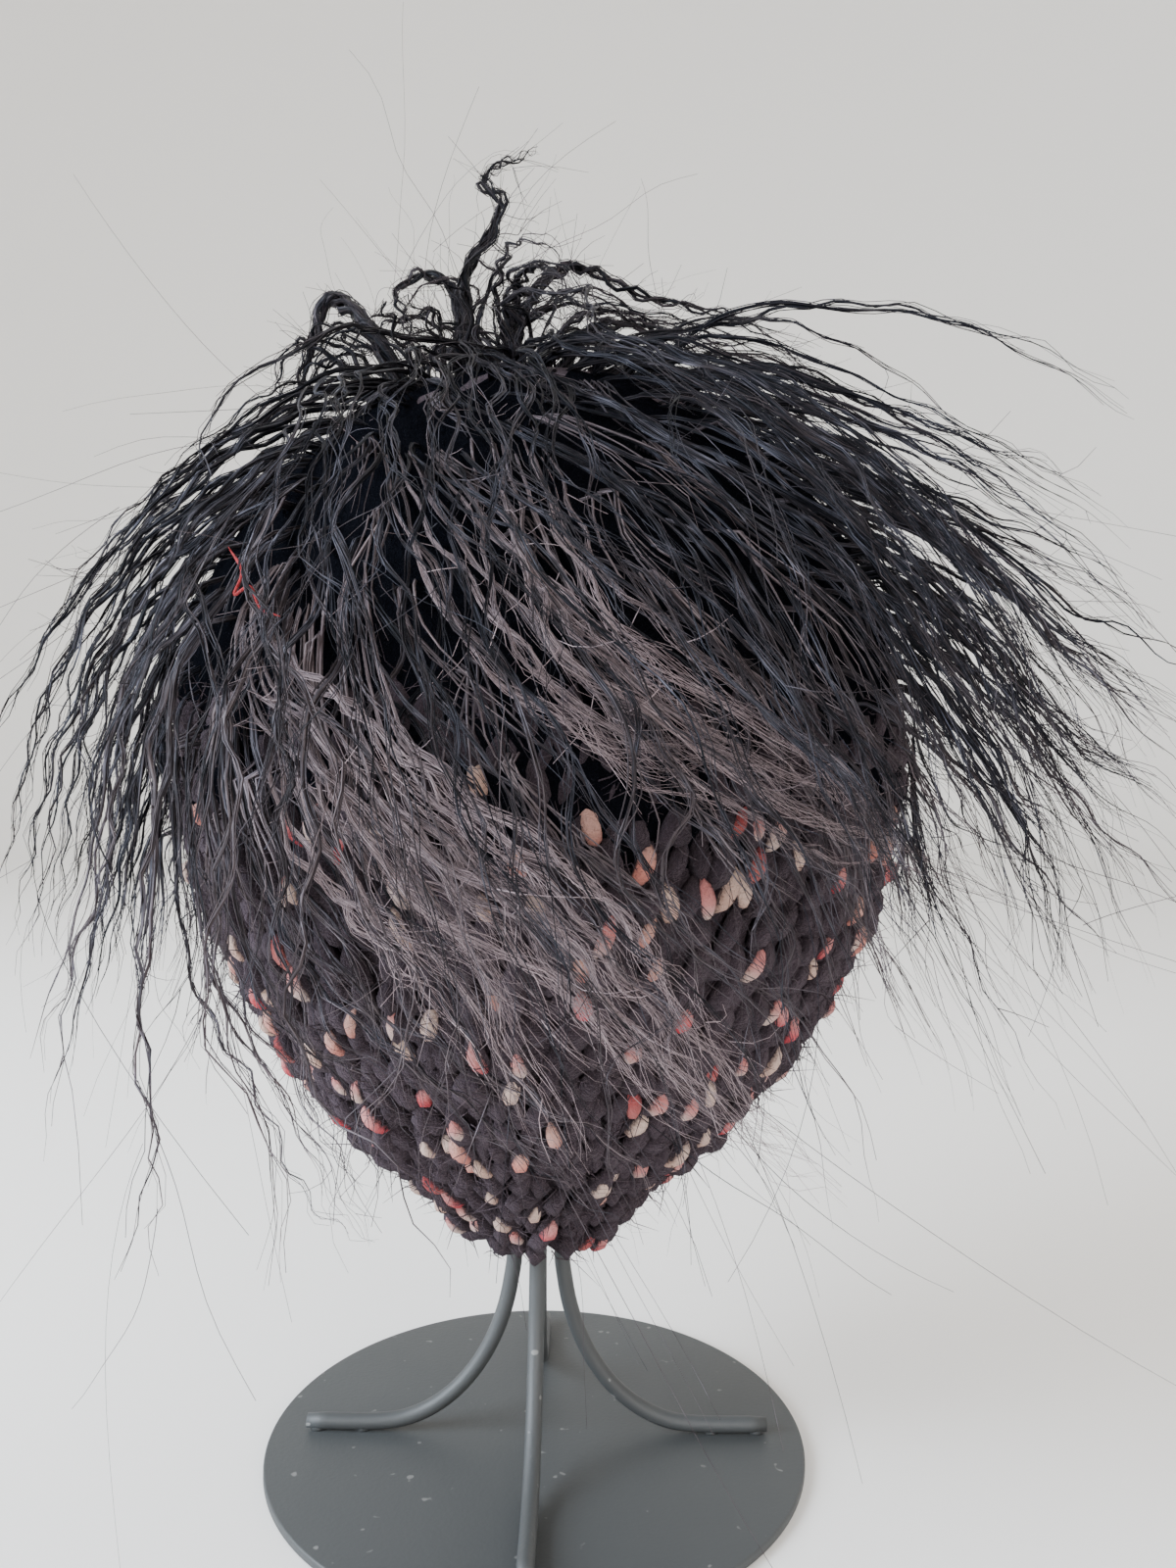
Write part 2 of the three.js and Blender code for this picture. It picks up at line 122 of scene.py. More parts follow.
class Graph:
    def __init__(self, name):
        self.material = bpy.data.materials.new(name)
        self.material.use_nodes = True
        self.tree = self.material.node_tree
        self.shader = self.tree.nodes["Principled BSDF"]

    def node(self, kind, settings=None, values=None, output=0):
        made = self.tree.nodes.new(kind)
        for key, value in (settings or {}).items():
            setattr(made, key, value)
        for key, value in (values or {}).items():
            self.feed(made.inputs[key], value)
        return Sock(self, made.outputs[output])

    def feed(self, socket, value):
        if isinstance(value, Sock):
            self.tree.links.new(value.socket, socket)
        elif isinstance(value, tuple) and len(value) == 3 and socket.type == "RGBA":
            socket.default_value = (*value, 1)
        else:
            socket.default_value = value

    def set(self, **values):
        for key, value in values.items():
            self.feed(self.shader.inputs[key.replace("_", " ")], value)

    def place(self):
        return self.node("ShaderNodeTexCoord", output="Object")

    def attribute(self, name, output="Fac"):
        return self.node("ShaderNodeAttribute", {"attribute_name": name}, output=output)

    def noise(self, scale, detail=3.0, rough=0.5, where=None):
        values = {"Vector": where or self.place(), "Scale": scale, "Detail": detail, "Roughness": rough}
        return self.node("ShaderNodeTexNoise", values=values, output="Fac")

    def fibre(self, rounds, along):  # a tube's own UV: round it, and along it
        fibre = self.node("ShaderNodeUVMap", {"uv_map": "fibre"})
        values = {0: fibre, 1: (rounds, along, 0)}
        return self.node("ShaderNodeVectorMath", {"operation": "MULTIPLY"}, values)

    def mask(self, fac, low, high):  # black up to low, and white from high on
        ramp = self.node("ShaderNodeValToRGB", values={"Fac": fac})
        black, white = ramp.socket.node.color_ramp.elements
        black.position, white.position = low, high
        return self.node("ShaderNodeRGBToBW", values={"Color": ramp})

    def mix(self, fac, first, second):
        settings = {"data_type": "RGBA", "clamp_factor": True}
        return self.node("ShaderNodeMix", settings, {"Factor": fac, 6: first, 7: second}, output=2)

    def bump(self, height, strength, distance):
        values = {"Height": height, "Strength": strength, "Distance": distance}
        return self.node("ShaderNodeBump", values=values)


powderCoat = {
    "colour": (0.037, 0.0405, 0.042),
    "dust": (0.26, 0.26, 0.25),
    "brighter": 1.28,  # in its cloudy patches
    "cloudScale": 24,
    "speckScale": 260,
    "specks": (0.735, 0.78),
    "grainScale": 900,
    "grainDepth": 0.3 * mm,
    "roughness": 0.5,
}

lockWool = {
    "deep": (0.0015, 0.0017, 0.0027),
    "black": (0.0055, 0.006, 0.0085),
    # brown to grey: a lighter grey-brown painted onto the locks in front for the light that falls on
    # them
    "brown": (0.11, 0.074, 0.080),
    "grey": (0.68, 0.56, 0.59),
    # painted highlight: the bluish shine of lit hair, painted into its colour
    "paintedShine": (0.105, 0.113, 0.150),
    "paintedShineFades": (0.268, 0.294),  # the painted highlight fades between these heights, in metres
    "paintedShineLeft": 0.08,  # to this share of itself above them
    "fibres": (5, 60),  # round a strand, and along a metre of it
    "streaks": (0.44, 0.66),
    "patches": (0.46, 0.66),
    "patchScale": 90,
    "roughness": 0.36,
    "gloss": 0.06,
    "depth": 0.5 * mm,
}

woolFelt = {"scale": 420, "depth": 3 * mm}

fleckedYarn = {
    "shadow": (0.010, 0.0075, 0.0095),
    "dark": (0.062, 0.046, 0.058),
    "roughness": 0.95,
    "gloss": 0.08,
    "sheen": 0.5,
    "halo": (0.22, 0.175, 0.20),
    "patchScale": 60,
    "fibreScale": 1100,
    "edge": (0.28, 0.66),  # where a fleck begins, blurred by the fibres
    "depth": 2 * mm,
}


def makePowderCoat():
    graph = Graph("powder coat")
    cloud = graph.noise(powderCoat["cloudScale"], 4)
    speck = graph.mask(graph.noise(powderCoat["speckScale"], 1), *powderCoat["specks"])
    brighter = tuple(powderCoat["brighter"] * c for c in powderCoat["colour"])
    base = graph.mix(cloud * 0.5, powderCoat["colour"], brighter)
    graph.set(Base_Color=graph.mix(speck * 0.5, base, powderCoat["dust"]))
    graph.set(Roughness=powderCoat["roughness"] + cloud * 0.12, Metallic=0.0)
    grain = graph.noise(powderCoat["grainScale"], 2)
    graph.set(Normal=graph.bump(grain, 0.25, powderCoat["grainDepth"]))
    return graph.material


def makeLockWool():
    graph = Graph("lock wool")
    tone = graph.attribute("tone")
    along = graph.noise(lockWool["patchScale"], 3)
    fibre = graph.noise(1, 3, 0.6, where=graph.fibre(*lockWool["fibres"]))
    streaks = graph.mask(fibre, *lockWool["streaks"])
    patches = graph.mask(along, *lockWool["patches"])
    # painted highlight: a bluish shine painted along the streaks, in patches, with less of it above the
    # crown's height
    height = graph.node("ShaderNodeSeparateXYZ", values={"Vector": graph.place()}, output=2)
    low, high = lockWool["paintedShineFades"]
    ranges = {"Value": height, "From Min": low, "From Max": high, "To Max": lockWool["paintedShineLeft"]}
    paintedHighlight = streaks * patches * graph.node("ShaderNodeMapRange", values={**ranges, "To Min": 1.0})
    near = graph.mix(paintedHighlight, lockWool["black"], lockWool["paintedShine"])
    # painted light: grey-brown, lighter along the streaks, for the light on the locks in front
    paintedLightGreyBrown = graph.mix(streaks * 0.8 + 0.15, lockWool["brown"], lockWool["grey"])
    graph.set(Base_Color=graph.mix(tone + (fibre - 0.5) * 0.26, near, paintedLightGreyBrown))
    graph.set(Roughness=lockWool["roughness"] + fibre * 0.16)
    graph.set(Specular_IOR_Level=lockWool["gloss"])
    graph.set(Normal=graph.bump(fibre, 0.5, lockWool["depth"]))
    return graph.material


def makeFelt():
    graph = Graph("wool felt")
    tangle = graph.noise(woolFelt["scale"], 4, 0.7)
    graph.set(Base_Color=graph.mix(tangle, lockWool["deep"], lockWool["black"]))
    graph.set(Roughness=1.0, Specular_IOR_Level=0.0)
    graph.set(Normal=graph.bump(tangle, 1.0, woolFelt["depth"]))
    return graph.material


def makeFleckedYarn():
    graph = Graph("flecked yarn")
    tint = graph.attribute("tint", "Color")
    fleck = graph.attribute("fleck")
    patch = graph.noise(fleckedYarn["patchScale"], 4)
    fibre = graph.noise(fleckedYarn["fibreScale"], 3, 0.7)
    dark = graph.mix(patch, fleckedYarn["shadow"], fleckedYarn["dark"])
    faded = graph.mix(fibre * 0.5, tint, fleckedYarn["dark"])
    spun = graph.mask(fleck + (fibre - 0.5) * 0.95, *fleckedYarn["edge"])
    graph.set(Base_Color=graph.mix(spun, dark, faded))
    graph.set(Roughness=fleckedYarn["roughness"], Specular_IOR_Level=fleckedYarn["gloss"])
    graph.set(Sheen_Weight=fleckedYarn["sheen"], Sheen_Roughness=0.45, Sheen_Tint=fleckedYarn["halo"])
    graph.set(Normal=graph.bump(fibre + patch * 0.5, 1.0, fleckedYarn["depth"]))
    return graph.material


powderCoatMaterial = makePowderCoat()
lockWoolMaterial = makeLockWool()
feltMaterial = makeFelt()
fleckedYarnMaterial = makeFleckedYarn()
print("materials made")


# The knit's surface, from the rim up to the crown.

knitForm = {
    "rimRadius": 18.65 * mm,
    "bulb": [  # up and out, as shares of the way from the rim to the widest line
        (0.0, 0.0), (0.03, 0.05), (0.09, 0.15), (0.18, 0.335), (0.28, 0.52), (0.39, 0.665),
        (0.51, 0.79), (0.63, 0.89), (0.75, 0.957), (0.88, 0.994),
    ],
    "domeSteps": 18,
    "slack": 3.4 * mm,  # between the wires
    "pleats": 8,
    "pleatDepth": 3.0 * mm,
    "poleRadius": 7 * mm,  # inside it nothing is drawn in
}


def knitLine():
    line = []
    for up, out in knitForm["bulb"]:
        radius = knitForm["rimRadius"] + out * (hatRadius - knitForm["rimRadius"])
        line.append((radius, rimHeight + up * (widestHeight - rimHeight)))
    for i in range(knitForm["domeSteps"] + 1):
        angle = i / knitForm["domeSteps"] * 90 * degree
        line.append((hatRadius * math.cos(angle), widestHeight + hatRadius * math.sin(angle)))
    return np.array(line)


knitRows = knitLine()
knitArc = np.concatenate([[0], np.cumsum(np.linalg.norm(np.diff(knitRows, axis=0), axis=1))])
poleArc = knitArc[-1]


def smooth(value, low, high):
    share = np.clip((value - low) / (high - low), 0, 1)
    return share * share * (3 - 2 * share)


def loosened(x, y, z):
    radius = np.maximum(np.hypot(x, y), 1e-6)
    turn = np.arctan2(y, x)
    down = (widestHeight - z) / (widestHeight - rimHeight)
    gathered = smooth(down, 0.3, 0.75) * (1 - smooth(down, 0.9, 1))
    slack = knitForm["slack"] * np.minimum(radius / hatRadius, 1) * (0.5 - 0.5 * np.cos(4 * turn))
    pleat = knitForm["pleatDepth"] * gathered * (0.5 - 0.5 * np.cos(knitForm["pleats"] * turn))
    scale = np.where(radius < knitForm["poleRadius"], 1, 1 - (slack + pleat) / radius)
    return x * scale, y * scale


def onKnit(arc, turn):  # a place on the knit, and its ways round, up and out
    radius = np.interp(arc, knitArc, knitRows[:, 0])
    height = np.interp(arc, knitArc, knitRows[:, 1])
    step = 2 * mm
    above, below = np.minimum(arc + step, poleArc), np.maximum(arc - step, 0)
    rise = np.interp(above, knitArc, knitRows[:, 1]) - np.interp(below, knitArc, knitRows[:, 1])
    widen = np.interp(above, knitArc, knitRows[:, 0]) - np.interp(below, knitArc, knitRows[:, 0])
    length = np.hypot(rise, widen)
    rise, widen = rise / length, widen / length
    x, y = loosened(radius * np.cos(turn), radius * np.sin(turn), height)
    place = np.stack([x, y, height], -1)
    around = np.stack([-np.sin(turn), np.cos(turn), 0 * turn], -1)
    upward = np.stack([widen * np.cos(turn), widen * np.sin(turn), rise], -1)
    outward = np.stack([rise * np.cos(turn), rise * np.sin(turn), -widen], -1)
    return place, around, upward, outward


# Many thin tubes in one mesh. paths is strands by points by 3, and radii strands by points.

def normalized(vectors):
    return vectors / np.maximum(np.linalg.norm(vectors, axis=-1, keepdims=True), 1e-12)


def tubeCorners(paths, radii, sides):
    along = normalized(np.gradient(paths, axis=1))
    start = np.where(np.abs(along[:, :1, 2:]) > 0.8, [[[1.0, 0, 0]]], [[[0, 0, 1.0]]])[:, 0]
    side = normalized(np.cross(start, along[:, 0]))
    turns = np.arange(sides) / sides * 2 * math.pi
    rings = []
    for i in range(paths.shape[1]):
        side = normalized(side - along[:, i] * np.sum(side * along[:, i], -1, keepdims=True))
        across = np.cross(along[:, i], side)
        ring = np.cos(turns)[:, None] * side[:, None] + np.sin(turns)[:, None] * across[:, None]
        rings.append(paths[:, i, None] + ring * radii[:, i, None, None])
    return np.stack(rings, 1)  # strands, points, sides, 3


def tubeFaces(strands, points, sides):
    ring = np.arange(points - 1)[:, None] * sides
    side = np.arange(sides)[None, :]
    following = (side + 1) % sides
    quads = np.stack([ring + side, ring + following, ring + sides + following, ring + sides + side], -1)
    offsets = np.arange(strands)[:, None, None] * points * sides
    quads = (quads.reshape(-1, 4)[None] + offsets).reshape(-1, 4)
    starts = (np.arange(sides)[::-1][None] + offsets[:, :, 0]).reshape(-1, sides)
    ends = (np.arange(sides)[None] + (points - 1) * sides + offsets[:, :, 0]).reshape(-1, sides)
    return quads, np.concatenate([starts, ends])


def tubeFibre(paths, sides, shift):  # round the tube, and along it in metres
    strands = len(paths)
    steps = np.linalg.norm(np.diff(paths, axis=1), axis=-1)
    along = np.concatenate([np.zeros((strands, 1)), np.cumsum(steps, axis=1)], axis=1)
    side = np.arange(sides)
    round4 = np.stack([side, side + 1, side + 1, side], -1) / sides + 0 * along[:, :-1, None, None]
    before, after = along[:, :-1, None] + 0 * side, along[:, 1:, None] + 0 * side
    along4 = np.stack([before, before, after, after], -1)
    quads = np.stack([round4 + shift[:, None, None, None], along4], -1).reshape(-1, 2)
    return np.concatenate([quads, np.zeros((2 * strands * sides, 2))])


def meshFrom(name, corners, faceSets, attributes, fibre, material):
    mesh = bpy.data.meshes.new(name)
    loops = np.concatenate([faces.ravel() for faces in faceSets])
    lengths = np.concatenate([np.full(len(faces), faces.shape[1]) for faces in faceSets])
    mesh.vertices.add(len(corners))
    mesh.vertices.foreach_set("co", corners.ravel().astype(np.float32))
    mesh.loops.add(len(loops))
    mesh.loops.foreach_set("vertex_index", loops.astype(np.int32))
    mesh.polygons.add(len(lengths))
    mesh.polygons.foreach_set("loop_start", (np.cumsum(lengths) - lengths).astype(np.int32))
    for key, values in attributes.items():
        kind, field = ("FLOAT", "value") if values.shape[1] == 1 else ("FLOAT_COLOR", "color")
        layer = mesh.attributes.new(key, kind, "POINT")
        layer.data.foreach_set(field, values.astype(np.float32).ravel())
    mesh.uv_layers.new(name="fibre").data.foreach_set("uv", fibre.astype(np.float32).ravel())
    mesh.update(calc_edges=True)
    mesh.validate()
    return linked(name, mesh, material)


triangleCount = {}


def tubes(name, bundles, material, node):
    cornerSets, faceSets, attributeSets, fibreSets, offset, triangles = [], [], {}, [], 0, 0
    shift = np.random.default_rng(len(bundles))
    for bundle in bundles:
        paths, radii, sides = bundle["paths"], bundle["radii"], bundle["sides"]
        strands, points = radii.shape
        corners = tubeCorners(paths, radii, sides)
        for faces in tubeFaces(strands, points, sides):
            faceSets.append(faces + offset)
            triangles += len(faces) * (faces.shape[1] - 2)
        fibreSets.append(tubeFibre(paths, sides, shift.integers(0, 40, strands)))
        for key, values in bundle["attributes"].items():
            if values.ndim < 4:  # the same all round the tube
                values = np.repeat(values.reshape(strands, points, 1, -1), sides, axis=2)
            attributeSets.setdefault(key, []).append(values.reshape(strands * points * sides, -1))
        cornerSets.append(corners.reshape(-1, 3))
        offset += strands * points * sides
    attributes = {key: np.concatenate(sets) for key, sets in attributeSets.items()}
    fibre = np.concatenate(fibreSets)
    piece = meshFrom(name, np.concatenate(cornerSets), faceSets, attributes, fibre, material)
    triangleCount[name] = triangles
    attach(piece, "root")
    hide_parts(node)


def yarn(name, paths, radii, sides, attributes):
    bundle = {"paths": paths, "radii": radii, "sides": sides, "attributes": attributes}
    tubes(name, [bundle], fleckedYarnMaterial, "knit_body")


def hairBundle(paths, radii, tones):
    paths, radii, tones = map(np.array, (paths, radii, tones))
    return {"paths": paths, "radii": radii, "sides": 3, "attributes": {"tone": tones}}


def hair(name, bundles):
    tubes(name, bundles, lockWoolMaterial, "lock_fur")


def linked(name, mesh, material):
    mesh.shade_smooth()
    mesh.materials.append(material)
    piece = bpy.data.objects.new(name, mesh)
    bpy.context.scene.collection.objects.link(piece)
    return piece


def deselectAll():
    if bpy.context.object and bpy.context.object.mode != "OBJECT":
        bpy.ops.object.mode_set(mode="OBJECT")
    bpy.ops.object.select_all(action="DESELECT")


# The stand: a round plate and two bent wire loops, on the solids' own lines, with welds at the feet.

stand = {
    "plateRadius": 76 * mm,
    "plateBevel": 0.6 * mm,
    "wire": 2.25 * mm,  # radius
    "footInset": 10 * mm,
    "footLength": 20 * mm,
    "neckRadius": 7 * mm,
    "neckHeight": 56.5 * mm,
    "gap": 0.3 * mm,  # to the plate
    "toKnit": 0.6 * mm,
    "dip": 4.8 * mm,  # how far the front loop passes below the side loop at the top
    "sides": 16,
    "bead": 1.7 * mm,  # radius of a weld
    "beadHalf": 2.2 * mm,  # half its length
    "beadRise": 0.9 * mm,
    "beadPlaces": (3 * mm, 16 * mm),  # from the end of a foot
}


def makePlate():
    deselectAll()
    bpy.ops.mesh.primitive_cylinder_add(
        vertices=160, radius=stand["plateRadius"], depth=plateTop, location=(0, 0, plateTop / 2))
    plate = bpy.context.object
    plate.name = "standPlate"
    bpy.ops.object.transform_apply(location=True)
    edge = plate.modifiers.new("edge", "BEVEL")
    edge.width, edge.segments, edge.angle_limit = stand["plateBevel"], 3, 60 * degree
    bpy.ops.object.modifier_apply(modifier="edge")
    bpy.ops.object.shade_smooth_by_angle(angle=40 * degree)
    plate.data.materials.append(powderCoatMaterial)
    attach(plate, "root")
    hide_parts("base_plate")


def wireLine(dip):  # one half of a loop, as (out, up), from its foot to the top
    reach, foot = stand["plateRadius"] - stand["footInset"], plateTop + stand["gap"] + stand["wire"]
    start, neck, top = reach - stand["footLength"], stand["neckRadius"], stand["neckHeight"]
    line = [(reach, foot)]
    for i in range(9):
        angle = i / 8 * 90 * degree
        line.append((start - (start - neck) * math.sin(angle), top - (top - foot) * math.cos(angle)))
    inset = wallThickness + stand["toKnit"] + stand["wire"]
    under = widestHeight + hatRadius - inset
    for i, (out, up) in enumerate(knitRows):
        if up >= widestHeight:
            facing = np.array([out, up - widestHeight]) / hatRadius
        else:
            step = knitRows[i + 1] - knitRows[max(i - 1, 0)]
            facing = np.array([step[1], -step[0]]) / np.hypot(*step)
        out, up = np.array([out, up]) - facing * inset
        if up > stand["neckHeight"] + 2 * stand["wire"] and (out > neck or up > widestHeight):
            line.append((out, up - dip * float(smooth(up, under - 8 * stand["wire"], under))))
    return line


def throughPoints(points, steps):  # a curve that keeps its speed through uneven points
    padded = np.concatenate([[2 * points[0] - points[1]], points, [2 * points[-1] - points[-2]]])
    gaps = np.sqrt(np.linalg.norm(np.diff(padded, axis=0), axis=1))
    t = (np.arange(steps) / steps)[:, None]
    curve = []
    for i in range(len(points) - 1):
        a, b, c, d = padded[i:i + 4]
        before, here, after = gaps[i:i + 3]
        leave = ((b - a) / before - (c - a) / (before + here) + (c - b) / here) * here
        arrive = ((c - b) / here - (d - b) / (here + after) + (d - c) / after) * here
        curve.append(b + leave * t + (-3 * b + 3 * c - 2 * leave - arrive) * t ** 2
                     + (2 * b - 2 * c + leave + arrive) * t ** 3)
    return np.concatenate([*curve, points[-1:]])


def makeWires():
    loops = (("sideLoop", "side_wire", 0, 0), ("frontLoop", "front_wire", 90, stand["dip"]))
    for name, node, turn, dip in loops:
        half = np.array(wireLine(dip))
        flat = np.concatenate([half, half[-2::-1] * [-1, 1]])
        x, z = throughPoints(flat, 4).T
        line = np.stack([x * math.cos(turn * degree), x * math.sin(turn * degree), z], -1)
        radii = np.full(len(line), stand["wire"])
        radii[[0, -1]] *= 0.86  # eased ends
        wire = {"paths": line[None], "radii": radii[None], "sides": stand["sides"], "attributes": {}}
        bundles = [wire]
        for foot in (-1, 1):
            for back in stand["beadPlaces"]:
                reach = (stand["plateRadius"] - stand["footInset"] - back) * foot
                along = np.linspace(-1, 1, 7) * stand["beadHalf"] + reach
                bead = np.stack([along * math.cos(turn * degree), along * math.sin(turn * degree),
                                 0 * along + plateTop + stand["beadRise"]], -1)
                swell = stand["bead"] * np.sqrt(1 - np.linspace(-0.96, 0.96, 7) ** 2)
                bundles.append({**wire, "paths": bead[None], "radii": swell[None], "sides": 12})
        tubes(name, bundles, powderCoatMaterial, node)


makePlate()
makeWires()
print("stand made:", triangleCount)


# Knitted ground: a shell drawn up from the rim, with its wall.

knitGround = {
    "inset": 1.3 * mm,  # under the stitches
    "rise": 2 * mm,  # above the rim
    "around": 96,
    "narrowest": 0.2 * mm,
    "wall": wallThickness - 2 * mm,
}


def makeKnitGround():
    deselectAll()
    inset, narrowest = knitGround["inset"], knitGround["narrowest"]
    radius, height = knitRows[0]
    height = height + knitGround["rise"]
    bpy.ops.mesh.primitive_circle_add(
        vertices=knitGround["around"], radius=radius - inset, location=(0, 0, height))
    ground = bpy.context.object
    ground.name = "knitGround"
    bpy.ops.object.transform_apply(location=True)
    bpy.ops.object.mode_set(mode="EDIT")
    bpy.ops.mesh.select_all(action="SELECT")
    for before, after in zip(knitRows[:-1], knitRows[1:]):
        wide = max(after[0] - inset, narrowest) / max(before[0] - inset, narrowest)
        bpy.ops.mesh.extrude_edges_move(TRANSFORM_OT_translate={"value": (0, 0, after[1] - before[1])})
        bpy.ops.transform.resize(value=(wide, wide, 1), center_override=(0, 0, after[1]))
    bpy.ops.mesh.merge(type="CENTER")
    bpy.ops.mesh.select_all(action="SELECT")
    bpy.ops.mesh.normals_make_consistent(inside=False)
    bpy.ops.object.mode_set(mode="OBJECT")
    corners = np.array([v.co for v in ground.data.vertices])
    corners[:, 0], corners[:, 1] = loosened(*corners.T)
    ground.data.vertices.foreach_set("co", corners.ravel())
    wall = ground.modifiers.new("wall", "SOLIDIFY")
    wall.thickness, wall.offset = knitGround["wall"], -1
    bpy.ops.object.modifier_apply(modifier="wall")
    bpy.ops.object.shade_smooth()
    ground.data.materials.append(fleckedYarnMaterial)
    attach(ground, "root")
    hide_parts("knit_body")


makeKnitGround()
print("knit ground made")


# Stitches: two plump legs each, and slubs, which are coloured tufts, along some of the legs.

stitches = {
    "pitch": 9.6 * mm,  # across a stitch
    "fewest": 10,  # in a row
    "row": 8.0 * mm,
    "firstRow": 0.35,
    "yarn": 3.0 * mm,  # radius
    "sides": 4,
    "swell": [0.35, 0.9, 1.0, 0.85, 0.3],  # along a leg
    "plump": (0.82, 1.15),
    "across": (0.10, 0.36, 0.8),  # where a leg starts, how far it spreads, and how soon
    "climb": (1.15, 1.5),  # of a leg, in rows
    "bulge": 1.4 * mm,
    "sunk": 1.7 * mm,
    "uneven": 0.5 * mm,
    "topHeight": 206 * mm,  # above this the locks hide them
    "jitter": 0.8 * mm,
    "seed": 7,
}

slubs = {
    "share": 0.215,
    "fade": (160 * mm, 206 * mm),  # fewer and fewer between these heights
    "radius": (1.6 * mm, 2.45 * mm),
    "length": (0.5, 0.95),  # as a share of a leg
    "proud": (1.1 * mm, 1.9 * mm),
    "middle": (0.4, 0.6),  # along the leg
    "points": 7,
    "sides": 6,
    "colours": [  # two that run into each other, and how common they are
        ((0.72, 0.46, 0.36), (0.76, 0.56, 0.47), 0.27),
        ((0.76, 0.58, 0.51), (0.70, 0.25, 0.23), 0.23),
        ((0.70, 0.25, 0.19), (0.74, 0.42, 0.34), 0.20),
        ((0.64, 0.04, 0.055), (0.72, 0.30, 0.28), 0.18),
        ((0.54, 0.15, 0.13), (0.40, 0.06, 0.06), 0.12),
    ],
}


def makeStitches():
    rng = np.random.default_rng(stitches["seed"])
    arcs, turns, mirrors = [], [], []
    for i in range(int(poleArc / stitches["row"])):
        arc = (i + stitches["firstRow"]) * stitches["row"]
        if np.interp(arc, knitArc, knitRows[:, 1]) > stitches["topHeight"]:
            break
        radius = np.interp(arc, knitArc, knitRows[:, 0])
        count = max(int(round(2 * math.pi * radius / stitches["pitch"])), stitches["fewest"])
        for j in range(count):
            for mirror in (-1, 1):
                arcs.append(arc)
                turns.append((j + 0.5 * (i % 2)) / count * 2 * math.pi)
                mirrors.append(mirror)
    arcs, turns, mirrors = map(np.array, (arcs, turns, mirrors))
    place, around, upward, outward = onKnit(arcs, turns)
    count = len(arcs)
    radius = np.interp(arcs, knitArc, knitRows[:, 0])
    wide = np.minimum(stitches["pitch"], 2 * math.pi * radius / stitches["fewest"])
    swell = np.array(stitches["swell"])
    shares = np.linspace(0, 1, len(swell))
    inner, spread, curve = stitches["across"]
    across = (inner + spread * shares ** curve)[None] * wide[:, None] * mirrors[:, None]
    climb = (shares - 0.5)[None] * stitches["row"] * rng.uniform(*stitches["climb"], (count, 1))
    bulge = (np.sin(shares * math.pi) * stitches["bulge"] - stitches["sunk"])[None]
    bulge = bulge + rng.normal(0, stitches["uneven"], (count, 1))
    middle = place + rng.normal(0, stitches["jitter"], (count, 3))
    paths = middle[:, None] + around[:, None] * across[..., None]
    paths = paths + upward[:, None] * climb[..., None] + outward[:, None] * bulge[..., None]
    radii = stitches["yarn"] * swell[None] * rng.uniform(*stitches["plump"], (count, 1))
    plain = {"tint": np.ones((count, len(shares), 4)), "fleck": np.zeros((count, len(shares)))}
    yarn("knitStitches", paths, radii, stitches["sides"], plain)
    makeSlubs(rng, paths, place[:, 2], outward)


def makeSlubs(rng, legs, height, outward):
    chosen = rng.random(len(legs)) < slubs["share"] * (1 - smooth(height, *slubs["fade"]))
    legs, outward = legs[chosen], outward[chosen]
    count = len(legs)
    half = rng.uniform(*slubs["length"], (count, 1)) / 2
    middle = rng.uniform(*slubs["middle"], (count, 1))
    own = np.linspace(-1, 1, slubs["points"])[None]
    at = np.clip(middle + own * half, 0, 1) * (legs.shape[1] - 1)
    i = np.minimum(at.astype(int), legs.shape[1] - 2)
    t = (at - i)[..., None]
    row = np.arange(count)[:, None]
    paths = legs[row, i] * (1 - t) + legs[row, i + 1] * t
    proud = rng.uniform(*slubs["proud"], (count, 1))
    paths = paths + outward[:, None] * (proud * (1 - 0.35 * own ** 2))[..., None]
    plump = np.sqrt(1 - (0.97 * own) ** 2)
    radii = rng.uniform(*slubs["radius"], (count, 1)) * plump
    weights = [weight for _, _, weight in slubs["colours"]]
    kinds = rng.choice(len(weights), count, p=weights)
    first = np.array([colour for colour, _, _ in slubs["colours"]])[kinds]
    second = np.array([colour for _, colour, _ in slubs["colours"]])[kinds]
    blend = smooth(own / 2 + 0.5 + rng.normal(0, 0.15, (count, 1)), 0.2, 0.8)[..., None]
    tint = np.ones((count, slubs["points"], 4))
    tint[..., :3] = first[:, None] * (1 - blend) + second[:, None] * blend
    around = tubeCorners(paths, radii, slubs["sides"]) - paths[:, :, None]
    facing = np.sum(normalized(around) * outward[:, None, None], -1)
    fleck = np.clip(0.12 + 1.1 * facing, 0, 1) * (0.45 + 0.55 * plump)[..., None]
    tint = np.repeat(tint[:, :, None], slubs["sides"], axis=2)
    yarn("yarnSlubs", paths, radii, slubs["sides"], {"tint": tint, "fleck": fleck[..., None]})


makeStitches()
print("stitches made:", triangleCount)


# Fuzz: short curly hairs all over the knit that blur its stitches.

knitFuzz = {
    "count": 5200,
    "length": (2.5 * mm, 7 * mm),
    "radii": (0.18 * mm, 0.15 * mm, 0.04 * mm),
    "top": 214 * mm,
    "root": 1.7 * mm,  # out of the knit
    "lean": 1.4,
    "bend": 0.65,
    "plump": (0.5, 1.3),
    "colour": (0.055, 0.041, 0.046),
    "brightness": (0.5, 2.0),
    "seed": 11,
}


